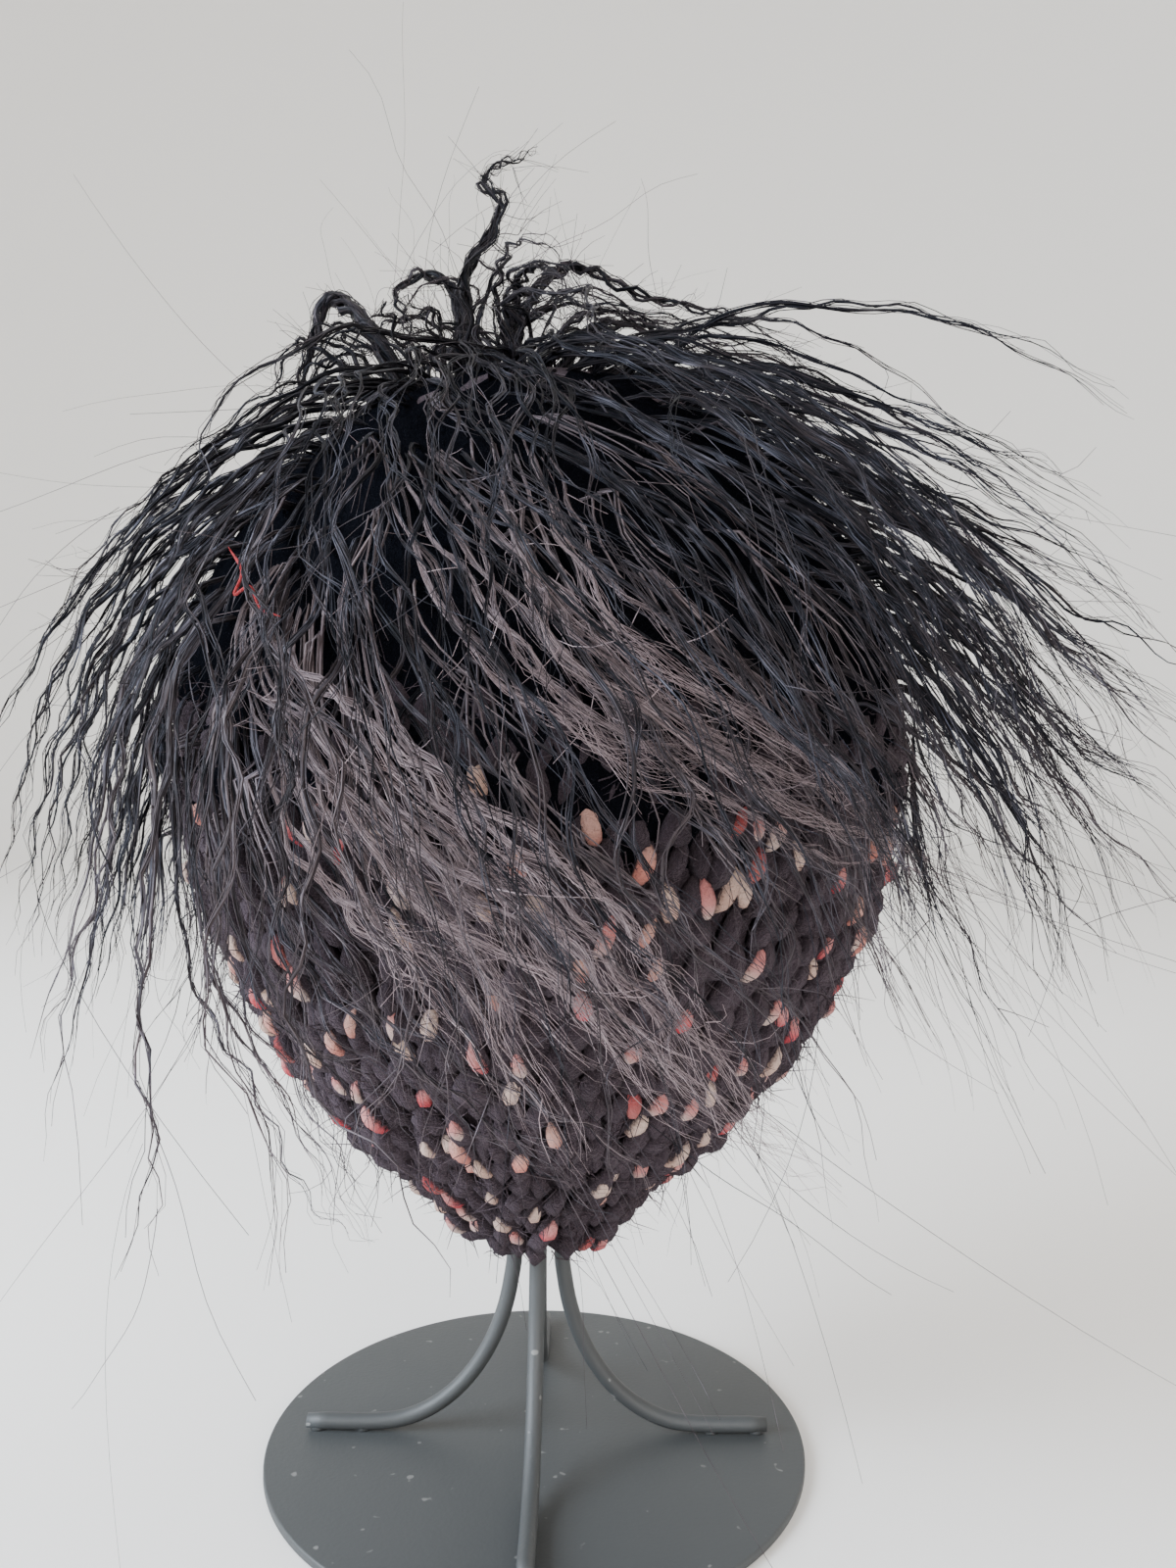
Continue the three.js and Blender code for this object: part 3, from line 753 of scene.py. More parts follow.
def makeKnitFuzz():
    rng = np.random.default_rng(knitFuzz["seed"])
    topArc = np.interp(knitFuzz["top"], knitRows[:, 1], knitArc)
    arc = rng.uniform(0, topArc, knitFuzz["count"] * 3)
    radius = np.interp(arc, knitArc, knitRows[:, 0])
    arc = arc[rng.random(len(arc)) < radius / hatRadius][:knitFuzz["count"]]
    count = len(arc)
    place, around, upward, outward = onKnit(arc, rng.uniform(0, 2 * math.pi, count))
    length = rng.uniform(*knitFuzz["length"], count)
    lean = rng.normal(0, knitFuzz["lean"], (count, 2)) - [0, 0.4]
    heading = normalized(outward + around * lean[:, :1] + upward * lean[:, 1:])
    bend = rng.normal(0, knitFuzz["bend"], (count, 3)) - outward * 0.25
    shares = np.linspace(0, 1, len(knitFuzz["radii"]))
    reach = (shares[None] * length[:, None])[..., None]
    curve = (shares[None] ** 2 * length[:, None])[..., None]
    paths = (place + outward * knitFuzz["root"])[:, None] + heading[:, None] * reach
    paths = paths + bend[:, None] * curve
    radii = np.array(knitFuzz["radii"])[None] * rng.uniform(*knitFuzz["plump"], (count, 1))
    tint = np.ones((count, len(shares), 4))
    tint[..., :3] = np.array(knitFuzz["colour"]) * rng.uniform(*knitFuzz["brightness"], (count, 1, 1))
    fleck = np.repeat(rng.uniform(0.2, 1, (count, 1)), len(shares), axis=1)
    yarn("knitFuzz", paths, radii, 3, {"tint": tint, "fleck": fleck})


makeKnitFuzz()
print("fuzz made:", triangleCount)


# Locks: the same comb as the solids have, with ropes of strands along each.

lockForm = {
    "rings": [  # degrees from the pole, count, first turn in degrees, length as a share of hatRadius
        (18, 8, 8, 1.35), (34, 9, 29, 1.35), (50, 11, 3, 1.25), (66, 10, 30, 1.15), (81, 7, 14, 0.95),
    ],
    "comb": {  # flare, weight, sweep, stiffness, length
        "right": (0.55, 0.3, 0.0, 0.6, 0.98),
        "front": (0.2, 0.7, 0.75, 0.45, 1.35),
        "left": (0.12, 0.5, 0.0, 0.5, 1.1),
        "back": (0.2, 0.6, 0.4, 0.5, 1.15),
    },
    "ringSpread": 5,
    "roundSpread": 0.4,
    "rootSpring": 0.1,
    "waveWidth": 0.042,
    "waveLength": 0.62,
    "lengthSpread": 0.16,
    "steps": 7,
    "thickness": 8 * mm,
    "tip": 1.6 * mm,
    "backing": 1.8 * mm,
}


def scatter(seed):
    value = math.sin(seed * 12.9898 + 4.1414) * 43758.5453
    return value - math.floor(value)


def combedAt(turn):
    x, y = math.cos(turn), math.sin(turn)
    comb = lockForm["comb"]
    across = np.array(comb["right" if x > 0 else "left"])
    depth = np.array(comb["back" if y > 0 else "front"])
    return across * x * x + depth * y * y


def outOfDrape(point):
    out = np.array([point[0], point[1], max(point[2] - widestHeight, 0)])
    length = np.linalg.norm(out)
    return out / length, length - hatRadius


def alongSurface(direction, out):
    return direction - out * np.dot(direction, out)


def lockThickness(share):
    return lockForm["thickness"] + (lockForm["tip"] - lockForm["thickness"]) * share


def lockLine(fromPole, turn, ringLength, phase, lift=1, heavy=1, spring=lockForm["rootSpring"]):
    reach, height = hatRadius * math.sin(fromPole), widestHeight + hatRadius * math.cos(fromPole)
    root = [reach * math.cos(turn), reach * math.sin(turn), height]
    points, heading = [np.array(root)], None
    flare, weight, sweep, stiffness, longer = combedAt(turn)
    length, steps = ringLength * longer, lockForm["steps"]
    down, right = np.array([0, 0, -1.0]), np.array([1.0, 0, 0])
    for i in range(steps):
        share, here = i / (steps - 1), points[i]
        out, _ = outOfDrape(here)
        outwards = normalized(np.array([here[0], here[1], 0]))
        pull = normalized(alongSurface(outwards, out) + alongSurface(down, out))
        pull = pull + alongSurface(right, out) * sweep + outwards * flare * lift
        pull = normalized(pull + down * weight * heavy * share)
        carried = pull + out * spring
        if heading is not None:
            carried = heading * stiffness + pull * (1 - stiffness)
        heading = normalized(carried)
        points.append(here + heading * length / steps)
    for i in range(1, steps + 1):
        share = i / steps
        out, _ = outOfDrape(points[i])
        sideways = normalized(np.array([-out[1], out[0], 0]))
        wave = math.sin(share * length * 2 * math.pi / (lockForm["waveLength"] * hatRadius) + phase)
        points[i] = points[i] + sideways * wave * lockForm["waveWidth"] * hatRadius
        away, clear = outOfDrape(points[i])
        needed = lockThickness(share) / 2 + lockForm["backing"]
        if clear < needed:
            points[i] = points[i] + away * (needed - clear)
    return np.array(points)


def lockRows():
    rows = []
    for level, (fromPole, count, turn, length) in enumerate(lockForm["rings"]):
        for i in range(count):
            seed = level * 100 + i
            rows.append((
                (fromPole + lockForm["ringSpread"] * (scatter(seed + 0.25) - 0.5)) * degree,
                (turn + 360 * (i + lockForm["roundSpread"] * scatter(seed + 0.75)) / count) * degree,
                hatRadius * length * (1 + lockForm["lengthSpread"] * (2 * scatter(seed + 0.5) - 1)),
                scatter(seed) * 2 * math.pi,
            ))
    return rows


def resampled(points, shares):  # a smooth curve through the points
    count = len(points) - 1
    place = np.clip(shares * count, 0, count - 1e-9)
    i = place.astype(int)
    t = (place - i)[:, None]
    padded = np.concatenate([[2 * points[0] - points[1]], points, [2 * points[-1] - points[-2]]])
    a, b, c, d = padded[i], padded[i + 1], padded[i + 2], padded[i + 3]
    bend, twist = 2 * a - 5 * b + 4 * c - d, 3 * b - a - 3 * c + d
    return 0.5 * (2 * b + (c - a) * t + bend * t * t + twist * t ** 3)


# How the ropes of each side look: how many to a lock, how far their roots lie from its root, how much
# they gather to it, their thickness and strands, how far these stray, the crimp's size and length, the
# wander, how brown they are, and how the comb and the weight on each rope vary. Some forms further down
# also say how fine their strands are, how these vary in tone, and how much down they carry.
plainRope = {"ropes": 11, "spread": (7, 0.62), "strands": 4}

ropeForms = {
    "right": {
        **plainRope, "gather": 0.45, "core": 0.55 * mm, "stray": 3.4 * mm, "crimp": 0.9 * mm,
        "crimpLength": (17 * mm, 30 * mm), "wander": 3.0 * mm, "tone": 0.03,
        "lift": (1.2, 2.6), "heavy": (0.0, 0.7), "spring": (0.1, 0.6),
    },
    "front": {
        **plainRope, "gather": 0.5, "core": 0.34 * mm, "stray": 3.4 * mm, "crimp": 0.8 * mm,
        "crimpLength": (18 * mm, 30 * mm), "wander": 3.0 * mm, "tone": 0.025,
        "lift": (0.6, 1.4), "heavy": (0.6, 1.3), "spring": (0.05, 0.25),
    },
    "left": {
        **plainRope, "spread": (7, 0.66), "gather": 0.4, "core": 0.66 * mm, "stray": 2.2 * mm,
        "crimp": 1.15 * mm, "crimpLength": (15 * mm, 21 * mm), "wander": 1.8 * mm, "tone": 0.02,
        "lift": (0.2, 2.4), "heavy": (0.6, 1.5), "spring": (0.05, 0.28),
    },
    "back": {
        **plainRope, "ropes": 8, "gather": 0.45, "core": 0.66 * mm, "stray": 2.8 * mm,
        "crimp": 1.0 * mm, "crimpLength": (16 * mm, 26 * mm), "wander": 2.5 * mm, "tone": 0.03,
        "lift": (0.5, 1.8), "heavy": (0.5, 1.4), "spring": (0.05, 0.3),
    },
}

hairRoom = {"share": 0.025, "edge": 8 * mm, "soft": 14 * mm}  # past the solids' box

strandForm = {
    "corePoints": 34,
    "points": 30,
    "radius": 0.19 * mm,
    "tip": 0.28,  # as a share of the radius
    "rootDip": 2.5 * mm,  # how far each root goes into the wool
    "lowestEnd": 82 * mm,  # no rope of a lock could hang below this
    "crimp": (0.45, 1.4),  # times the form's own
    "wanderLength": (55 * mm, 100 * mm),
    "core": (0.6, 1.3),  # times the form's own
    "swell": ([0, 0.1, 0.35, 0.7, 1], [0.9, 1, 0.8, 0.4, 0.06]),  # of the core, along it
    "reach": (0.7, 1.0),  # of a strand, along the core
    "twist": 7,  # radians at most
    "hug": (0.9, 1.5),
    "strayLength": (28 * mm, 60 * mm),
    "plump": (0.65, 1.3),  # times the radius
    "toneSpread": 0.03,
}

ropeShares = np.linspace(0, 1, strandForm["corePoints"])


def lengthOf(line):
    return np.sum(np.linalg.norm(np.diff(line, axis=0), axis=1))


def heldIn(paths):  # hair that would reach past the room round the solids is drawn in softly
    low, high = (np.array(corner) for corner in cadBox)
    middle, half = (low + high) / 2, (high - low) / 2
    room = half + (high - low) * hairRoom["share"] + hairRoom["edge"] - hairRoom["soft"]
    away, soft = np.abs(paths - middle), hairRoom["soft"]
    kept = np.minimum(away, room) + soft * (1 - np.exp(-np.maximum(away - room, 0) / soft))
    return middle + np.sign(paths - middle) * kept


def waysOf(line):  # along it, sideways on the hat, and out of the hat
    along = normalized(np.gradient(line, axis=0))
    out = np.array([outOfDrape(p)[0] for p in line])
    return along, normalized(np.cross(along, out)), out


def crimped(line, rng, form):
    # a rope's middle line with its own crimp and wander, and its ways sideways and outwards
    shares = np.linspace(0, 1, len(line))
    along, side, _ = waysOf(line)
    face = np.cross(side, along)
    length = lengthOf(line)
    phases = rng.uniform(0, 2 * math.pi, 3)
    crimp = form["crimp"] * rng.uniform(*strandForm["crimp"]) * smooth(shares, 0.02, 0.3)
    turns = shares * length * 2 * math.pi / rng.uniform(*form["crimpLength"])
    turns = turns + 0.8 * np.sin(shares * rng.uniform(4, 9) + phases[2])
    drift = np.sin(shares * length * 2 * math.pi / rng.uniform(*strandForm["wanderLength"]) + phases[2])
    sideways = np.sin(turns + phases[0]) * crimp
    sideways = sideways + drift * form["wander"] * smooth(shares, 0.1, 0.6)
    lift = np.sin(turns * 0.93 + phases[1]) * crimp * 0.7
    lift = lift - strandForm["rootDip"] * (1 - smooth(shares, 0, 0.06))
    return line + side * sideways[:, None] + face * lift[:, None], side, face


ropeLines = []


def ropeBundles(line, side, face, rng, form, tone):
    # a thin core and the strands that twist round it and stray from it towards the tip
    ropeLines.append((heldIn(line), side, face, tone, form.get("down", 1)))
    shares = np.linspace(0, 1, len(line))
    swell = np.interp(shares, *strandForm["swell"])
    coreRadius = form["core"] * rng.uniform(*strandForm["core"])
    coreTone = np.clip(tone * (0.5 + 0.7 * shares), 0, 1)
    core = hairBundle(heldIn(line[None]), (coreRadius * swell)[None], coreTone[None])
    count, points = form["strands"], strandForm["points"]
    own = np.linspace(0, 1, points)[None] * rng.uniform(*strandForm["reach"], (count, 1))
    at = own * (len(line) - 1)
    i = np.minimum(at.astype(int), len(line) - 2)
    t = (at - i)[..., None]
    middle = line[i] * (1 - t) + line[i + 1] * t
    angle = (np.arange(count) + rng.uniform(0, 1, count))[:, None] / count * 2 * math.pi
    twist = rng.uniform(-strandForm["twist"], strandForm["twist"])
    angle = angle + twist * own * (1 - smooth(own, 0.5, 1.0))
    hug = coreRadius * np.interp(own, shares, swell) * rng.uniform(*strandForm["hug"], (count, 1))
    stray = form["stray"] * rng.uniform(0.1, 1.0, (count, 1)) * smooth(own, 0.05, 1.2)
    turns = own * lengthOf(line) * 2 * math.pi / rng.uniform(*strandForm["strayLength"], (count, 1))
    phases = rng.uniform(0, 2 * math.pi, (2, count, 1))
    sideways = np.cos(angle) * hug + (np.sin(turns + phases[0]) + np.cos(angle) * 0.6) * stray
    lift = np.sin(angle) * hug + (np.sin(turns * 1.2 + phases[1]) + 0.35) * stray * 0.55
    paths = middle + side[i] * sideways[..., None] + face[i] * lift[..., None]
    taper = 1 - (1 - strandForm["tip"]) * np.linspace(0, 1, points)[None] ** 1.5
    radii = strandForm["radius"] * form.get("fine", 1) * taper
    radii = radii * rng.uniform(*strandForm["plump"], (count, 1))
    tones = (tone + rng.normal(0, form.get("tones", 0.05), (count, 1))) * (0.35 + 0.9 * own)
    return [core, hairBundle(heldIn(paths), radii, np.clip(tones, 0, 1))]


def toneNear(tone, rng):
    return max(rng.normal(tone, strandForm["toneSpread"]), 0)


def rope(line, rng, form):
    line, side, face = crimped(line, rng, form)
    return ropeBundles(line, side, face, rng, form, toneNear(form["tone"], rng))


def sideOf(turn):
    return ("right", "back", "left", "front")[int(((turn / degree + 45) % 360) // 90)]


lockRopes = {
    "length": (0.72, 1.04),
    "nearest": 4,  # degrees from the pole
    "shorter": (0.2, (45, 80)),  # at the right: by how much, and between which degrees
    "longer": (0.16, (30, 62)),  # in front on the left
    "leftward": (0.25, 0.5),
    "forward": (0.5, 0.72),
    "brownFront": 0.6,  # further forward than this share of hatRadius
    "brownBelow": 232 * mm,
    "brown": 0.2,
    "brownAt": 9,  # the point of a rope that is looked at
    "seed": 21,
}


def longerAt(turn, fromPole):  # the lower ropes hang further down in front on the left
    share, ring = lockRopes["longer"]
    left = smooth(-math.cos(turn), *lockRopes["leftward"])
    front = smooth(-math.sin(turn), *lockRopes["forward"])
    return 1 + share * (left * front) * smooth(fromPole / degree, *ring)


def shorterAt(form, fromPole):
    share, ring = lockRopes["shorter"]
    return 1 - share * (form is ropeForms["right"]) * smooth(fromPole / degree, *ring)


def makeLocks():
    rng = np.random.default_rng(lockRopes["seed"])
    groups = {side: [] for side in ropeForms}
    shares = ropeShares
    counts = [count for _, count, _, _ in lockForm["rings"] for _ in range(count)]
    for (fromPole, turn, length, phase), count in zip(lockRows(), counts):
        guide = resampled(lockLine(fromPole, turn, length, phase), shares)
        form = ropeForms[sideOf(turn)]
        upDown, aside = form["spread"]
        for i in range(form["ropes"]):
            place = (i + rng.uniform(0, 1)) / form["ropes"] * 2 - 1
            ownTurn = turn + place * aside * 2 * math.pi / count
            ownPole = fromPole + rng.uniform(-upDown, upDown) * degree
            ownPole = max(ownPole, lockRopes["nearest"] * degree)
            ownLength = length * rng.uniform(*lockRopes["length"])
            ownLength = ownLength * shorterAt(form, fromPole) * longerAt(ownTurn, fromPole)
            lowest = widestHeight + hatRadius * math.cos(ownPole) - strandForm["lowestEnd"]
            ownLength = min(ownLength, lowest / max(combedAt(ownTurn)[4], 0.1))
            own = lockLine(ownPole, ownTurn, ownLength, phase + rng.normal(0, 0.5),
                           *(rng.uniform(*form[key]) for key in ("lift", "heavy", "spring")))
            gather = form["gather"] * smooth(shares, 0.05, 0.6) * (1 - 0.5 * smooth(shares, 0.6, 1))
            line = resampled(own, shares)
            line = line + (guide - line) * gather[:, None]
            line, side, face = crimped(line, rng, form)
            _, ahead, height = line[lockRopes["brownAt"]]
            brown = ahead < -lockRopes["brownFront"] * hatRadius and height < lockRopes["brownBelow"]
            tone = form["tone"] + lockRopes["brown"] * brown * rng.random()
            groups[sideOf(turn)] += ropeBundles(line, side, face, rng, form, toneNear(tone, rng))
    for side, bundles in groups.items():
        hair("locks" + side.capitalize(), bundles)


makeLocks()
print("locks made:", triangleCount)


# Ropes that start at the crown itself and lie over the roots of the others, most of them to the right.

crownRopes = {
    "count": 46, "fromPole": (2, 17), "length": (0.75, 1.5), "toRight": 0.45, "rightTurn": (-5, 50),
    "lift": (0.5, 1.6), "heavy": (0.3, 1.2), "spring": (0.1, 0.3), "springRight": 0.9,
    "core": 0.6 * mm, "strands": 5, "stray": 3.2 * mm, "crimp": 1.1 * mm,
    "crimpLength": (13 * mm, 24 * mm), "wander": 3.0 * mm, "tone": 0.0, "tones": 0.03, "seed": 58,
}


def makeCrownRopes():
    rng = np.random.default_rng(crownRopes["seed"])
    bundles = []
    for _ in range(crownRopes["count"]):
        toRight = rng.random() < crownRopes["toRight"]
        turn = (rng.normal(*crownRopes["rightTurn"]) if toRight else rng.uniform(0, 360)) * degree
        least, most = crownRopes["spring"]
        most = most + crownRopes["springRight"] * max(math.cos(turn), 0)
        guide = lockLine(rng.uniform(*crownRopes["fromPole"]) * degree, turn,
                         hatRadius * rng.uniform(*crownRopes["length"]), rng.uniform(0, 6.28),
                         rng.uniform(*crownRopes["lift"]), rng.uniform(*crownRopes["heavy"]),
                         rng.uniform(least, most))
        bundles += rope(resampled(guide, ropeShares), rng, crownRopes)
    hair("crownRopes", bundles)


makeCrownRopes()
print("crown ropes made:", triangleCount)


# Locks that are swept across the front, wide in the middle, a lighter grey-brown that is painted light.

sweptForm = {
    "width": 22 * mm, "thickness": 6 * mm, "rootShare": 0.12, "ropes": 8,
    "core": 0.2 * mm, "strands": 13, "stray": 3.6 * mm, "crimp": 1.0 * mm,
    "crimpLength": (17 * mm, 27 * mm), "wander": 1.8 * mm, "tone": 0.84, "fine": 0.72, "tones": 0.22,
    "down": 3, "seed": 33,
}

sweptLocks = {  # right of the axis, behind it and above the widest line, as shares of hatRadius
    "fromCrown": [
        (-0.12, -0.5, 0.85), (-0.02, -0.9, 0.5), (0.05, -1.03, 0.29), (0.17, -1.1, 0.11),
        (0.53, -1.02, -0.12), (0.78, -0.86, -0.25), (1.22, -0.56, -0.43)],
    "belowCrown": [
        (-0.31, -0.65, 0.68), (-0.14, -0.97, 0.38), (0.11, -1.09, 0.09), (0.33, -1.07, -0.06),
        (0.75, -0.82, -0.14)],
    "fromLeft": [
        (-0.66, -0.66, 0.33), (-0.56, -0.88, 0.1), (-0.39, -1.02, -0.05), (-0.2, -1.09, -0.23),
        (-0.02, -1.12, -0.42), (0.22, -1.1, -0.67), (0.5, -1.0, -0.95)],
    "downLeft": [
        (-0.51, -0.8, 0.29), (-0.45, -0.99, -0.13), (-0.28, -1.05, -0.34), (-0.1, -1.09, -0.54),
        (0.14, -1.07, -0.97)],
    "acrossFront": [
        (-0.4, -0.83, 0.36), (-0.31, -1.04, -0.01), (-0.16, -1.12, -0.22), (0.08, -1.15, -0.38),
        (0.24, -1.13, -0.56), (0.46, -1.05, -0.8), (0.72, -0.9, -1.04)],
}

fallingForm = {
    "width": 24 * mm, "thickness": 6 * mm, "rootShare": 0.35, "ropes": 6,
    "core": 0.4 * mm, "strands": 4, "stray": 2.8 * mm, "crimp": 1.3 * mm,
    "crimpLength": (14 * mm, 22 * mm), "wander": 3.0 * mm, "tone": 0.13, "fine": 0.85, "tones": 0.12,
    "down": 2, "seed": 35,
}

fallingLocks = {  # darker, and in front of the knit on the left
    "fromSide": [
        (-0.76, -0.70, -0.05), (-0.68, -0.77, -0.48), (-0.55, -0.81, -0.76), (-0.42, -0.82, -1.0),
        (-0.30, -0.82, -1.17)],
    "acrossKnit": [
        (-0.70, -0.72, -0.01), (-0.58, -0.83, -0.36), (-0.42, -0.88, -0.61), (-0.25, -0.89, -0.82),
        (-0.08, -0.87, -1.04)],
    "besideVeil": [
        (-0.64, -0.76, 0.03), (-0.49, -0.87, -0.31), (-0.29, -0.92, -0.56), (-0.08, -0.93, -0.77),
        (0.13, -0.91, -0.94), (0.32, -0.87, -1.1)],
}

sweptSpread = {"reach": (0.78, 1.0), "across": 1.05, "uneven": 0.05, "proud": (0.2, 1.4), "tone": 0.24}


def sweptSize(share, form):
    swell = np.sin(math.pi * (form["rootShare"] + (1 - form["rootShare"]) * share))
    tip = lockForm["tip"]
    return tip + (form["width"] - tip) * swell, tip + (form["thickness"] - tip) * swell


def makeSweptLocks(name, guides, form):
    rng = np.random.default_rng(form["seed"])
    bundles = []
    for points in guides.values():
        guide = np.array(points) * hatRadius + [0, 0, widestHeight]
        for i in range(form["ropes"]):
            shares = ropeShares * rng.uniform(*sweptSpread["reach"])
            line = resampled(guide, shares)
            _, side, out = waysOf(line)
            width, thickness = sweptSize(shares, form)
            across = ((i + 0.5) / form["ropes"] - 0.5) * sweptSpread["across"]
            across = across + rng.normal(0, sweptSpread["uneven"])
            line = line + side * (across * width)[:, None]
            line = line + out * (rng.uniform(*sweptSpread["proud"]) * thickness / 2)[:, None]
            line, side, face = crimped(line, rng, form)
            tone = np.clip(rng.normal(form["tone"], sweptSpread["tone"] * form["tone"]), 0, 1)
            bundles += ropeBundles(line, side, face, rng, form, tone)
    hair(name, bundles)


makeSweptLocks("sweptLocks", sweptLocks, sweptForm)
makeSweptLocks("fallingLocks", fallingLocks, fallingForm)
print("swept locks made:", triangleCount)


# Wool under the locks: a lumpy skin over the upper half, and short matted hair on it.

woolSkin = {"lowest": 166 * mm, "proud": 1.4 * mm, "lump": 0.9 * mm, "sunk": 3.0 * mm, "around": 96}

underFur = {
    "hairs": 1050, "clump": 7, "steps": 8, "lowest": 104,  # degrees from the pole
    "length": (0.2, 0.42), "lift": (0.2, 1.3), "spring": (0.1, 0.8), "radius": 0.4 * mm,
    "plump": (0.45, 1.2), "root": 1.6 * mm, "spread": 7 * mm, "curl": (0.6, 2.0), "curls": (5, 12),
    "brown": 0.34, "seed": 40,
}


def makeWoolSkin():
    rows = knitRows[knitRows[:, 1] > woolSkin["lowest"]]
    turns = np.arange(woolSkin["around"]) / woolSkin["around"] * 2 * math.pi
    radius, height = rows[:-1, :1], rows[:-1, 1:]
    lump = np.sin(turns * 11 + height * 210) * np.sin(turns * 17 - height * 160 + 1) * woolSkin["lump"]
    proud = woolSkin["proud"] + lump * smooth(radius, 0, 0.5 * hatRadius)
    proud[0] = -woolSkin["sunk"]  # its edge goes into the knit
    slope = np.clip((height - widestHeight) / hatRadius, 0, 1)
    reach, z = radius + proud * np.sqrt(1 - slope ** 2), height + proud * slope
    x, y = loosened(reach * np.cos(turns), reach * np.sin(turns), z)
    corners = np.concatenate([np.stack([x, y, z], -1).reshape(-1, 3),
                              [[0, 0, widestHeight + hatRadius + woolSkin["proud"]]]])
    around, count = woolSkin["around"], len(rows) - 1
    ring, side = np.arange(count - 1)[:, None] * around, np.arange(around)[None]
    following = (side + 1) % around
    above = ring + around
    quads = np.stack([ring + side, ring + following, above + following, above + side], -1)
    last = (count - 1) * around
    top = np.stack([last + side[0], last + following[0], np.full(around, len(corners) - 1)], -1)
    mesh = bpy.data.meshes.new("woolSkin")
    mesh.from_pydata(corners.tolist(), [], quads.reshape(-1, 4).tolist() + top.tolist())
    skin = linked("woolSkin", mesh, feltMaterial)
    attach(skin, "root")
    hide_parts("lock_fur")


def makeUnderFur():
    rng = np.random.default_rng(underFur["seed"])
    golden = math.pi * (3 - math.sqrt(5))
    shares = np.linspace(0, 1, underFur["steps"])
    clumps = underFur["hairs"] // underFur["clump"]
    paths, radii, tones = [], [], []
    for i in range(clumps):
        fromPole = math.acos(1 - (i + 0.5) / clumps * (1 - math.cos(underFur["lowest"] * degree)))
        turn = (i * golden) % (2 * math.pi)
        length = hatRadius * rng.uniform(*underFur["length"])
        guide = lockLine(fromPole, turn, length, rng.uniform(0, 6.28),
                         rng.uniform(*underFur["lift"]), 1, rng.uniform(*underFur["spring"]))
        line = resampled(guide, shares)
        _, side, out = waysOf(line)
        front = smooth(-line[0, 1], 0.35 * hatRadius, 0.85 * hatRadius)
        for _ in range(underFur["clump"]):
            start, tip = rng.normal(0, underFur["root"], 2), rng.normal(0, underFur["spread"], 2)
            curl = rng.uniform(*underFur["curl"]) * mm
            turns = shares * rng.uniform(*underFur["curls"]) + rng.uniform(0, 6.28)
            curl = curl * np.sin(turns) * shares
            sideways = start[0] + (tip[0] - start[0]) * shares ** 1.3 + curl
            lift = abs(tip[1]) * 0.4 * shares ** 1.4 - 2.5 * mm * (1 - smooth(shares, 0, 0.2))
            paths.append(line + side * sideways[:, None] + out * lift[:, None])
            thick = underFur["radius"] * rng.uniform(*underFur["plump"])
            radii.append(thick * np.interp(shares, [0, 0.4, 1], [1, 0.85, 0.15]))
            brown = underFur["brown"] * front * rng.uniform(0.3, 1.3)
            tones.append(np.clip(np.full(len(shares), brown + rng.normal(0.02, 0.03)), 0, 1))
    hair("underFur", [hairBundle(paths, radii, tones)])


makeWoolSkin()
makeUnderFur()
print("under fur made:", triangleCount)


# Curls at the crown, on the same points as the solids.

crownCurls = {  # thickness in mm, root and points: right, behind, above the top, as shares of hatRadius
    "tallTwist": (4.4, (-0.2, 0.04), [
        (-0.225, 0.02, 0.17), (-0.235, 0, 0.33), (-0.17, -0.01, 0.45), (-0.13, -0.02, 0.54),
        (-0.19, -0.01, 0.59), (-0.16, 0.01, 0.65), (-0.09, 0.02, 0.68), (-0.03, 0.02, 0.71)]),
    "archedLoop": (4.8, (-0.26, 0.06), [
        (-0.26, 0.05, 0.2), (-0.28, 0.04, 0.31), (-0.37, 0.03, 0.35), (-0.44, 0.01, 0.28),
        (-0.41, -0.03, 0.17), (-0.38, -0.05, 0.02)]),
    "leftKnot": (6.4, (-0.38, -0.12), [
        (-0.47, -0.11, 0.1), (-0.56, -0.09, 0.21), (-0.63, -0.07, 0.22), (-0.67, -0.05, 0.11),
        (-0.72, -0.02, -0.02), (-0.77, 0, -0.2)]),
    "rightArch": (5.8, (-0.12, -0.03), [
        (-0.08, -0.01, 0.2), (0.02, 0.01, 0.35), (0.13, 0.03, 0.36), (0.27, 0.02, 0.29),
        (0.43, 0, 0.25), (0.6, -0.03, 0.18), (0.8, -0.04, 0.02)]),
    "backArch": (6.0, (0.02, 0.1), [
        (0.08, 0.16, 0.2), (0.24, 0.24, 0.29), (0.44, 0.32, 0.24), (0.64, 0.4, 0.1)]),
    "frontCurl": (5.2, (-0.06, -0.12), [
        (-0.09, -0.2, 0.14), (-0.05, -0.34, 0.2), (0.02, -0.5, 0.14), (0.12, -0.66, -0.02)]),
    "rearCurl": (5.2, (-0.22, 0.18), [
        (-0.28, 0.26, 0.16), (-0.36, 0.38, 0.24), (-0.46, 0.5, 0.14), (-0.54, 0.6, -0.04)]),
}

curlForm = {
    "plies": 3, "plyTwist": 24 * mm, "plyRing": 0.22, "plyCore": 0.24, "morePoints": 8,
    "companions": 4, "apart": 0.05, "uneven": 0.02, "shorter": (0.55, 0.92), "thinner": 0.42,
    "strands": 4, "stray": 1.9 * mm, "crimp": 0.9 * mm, "crimpLength": (8 * mm, 14 * mm),
    "wander": 1.0 * mm, "tone": 0.03, "down": 9, "seed": 5,
}


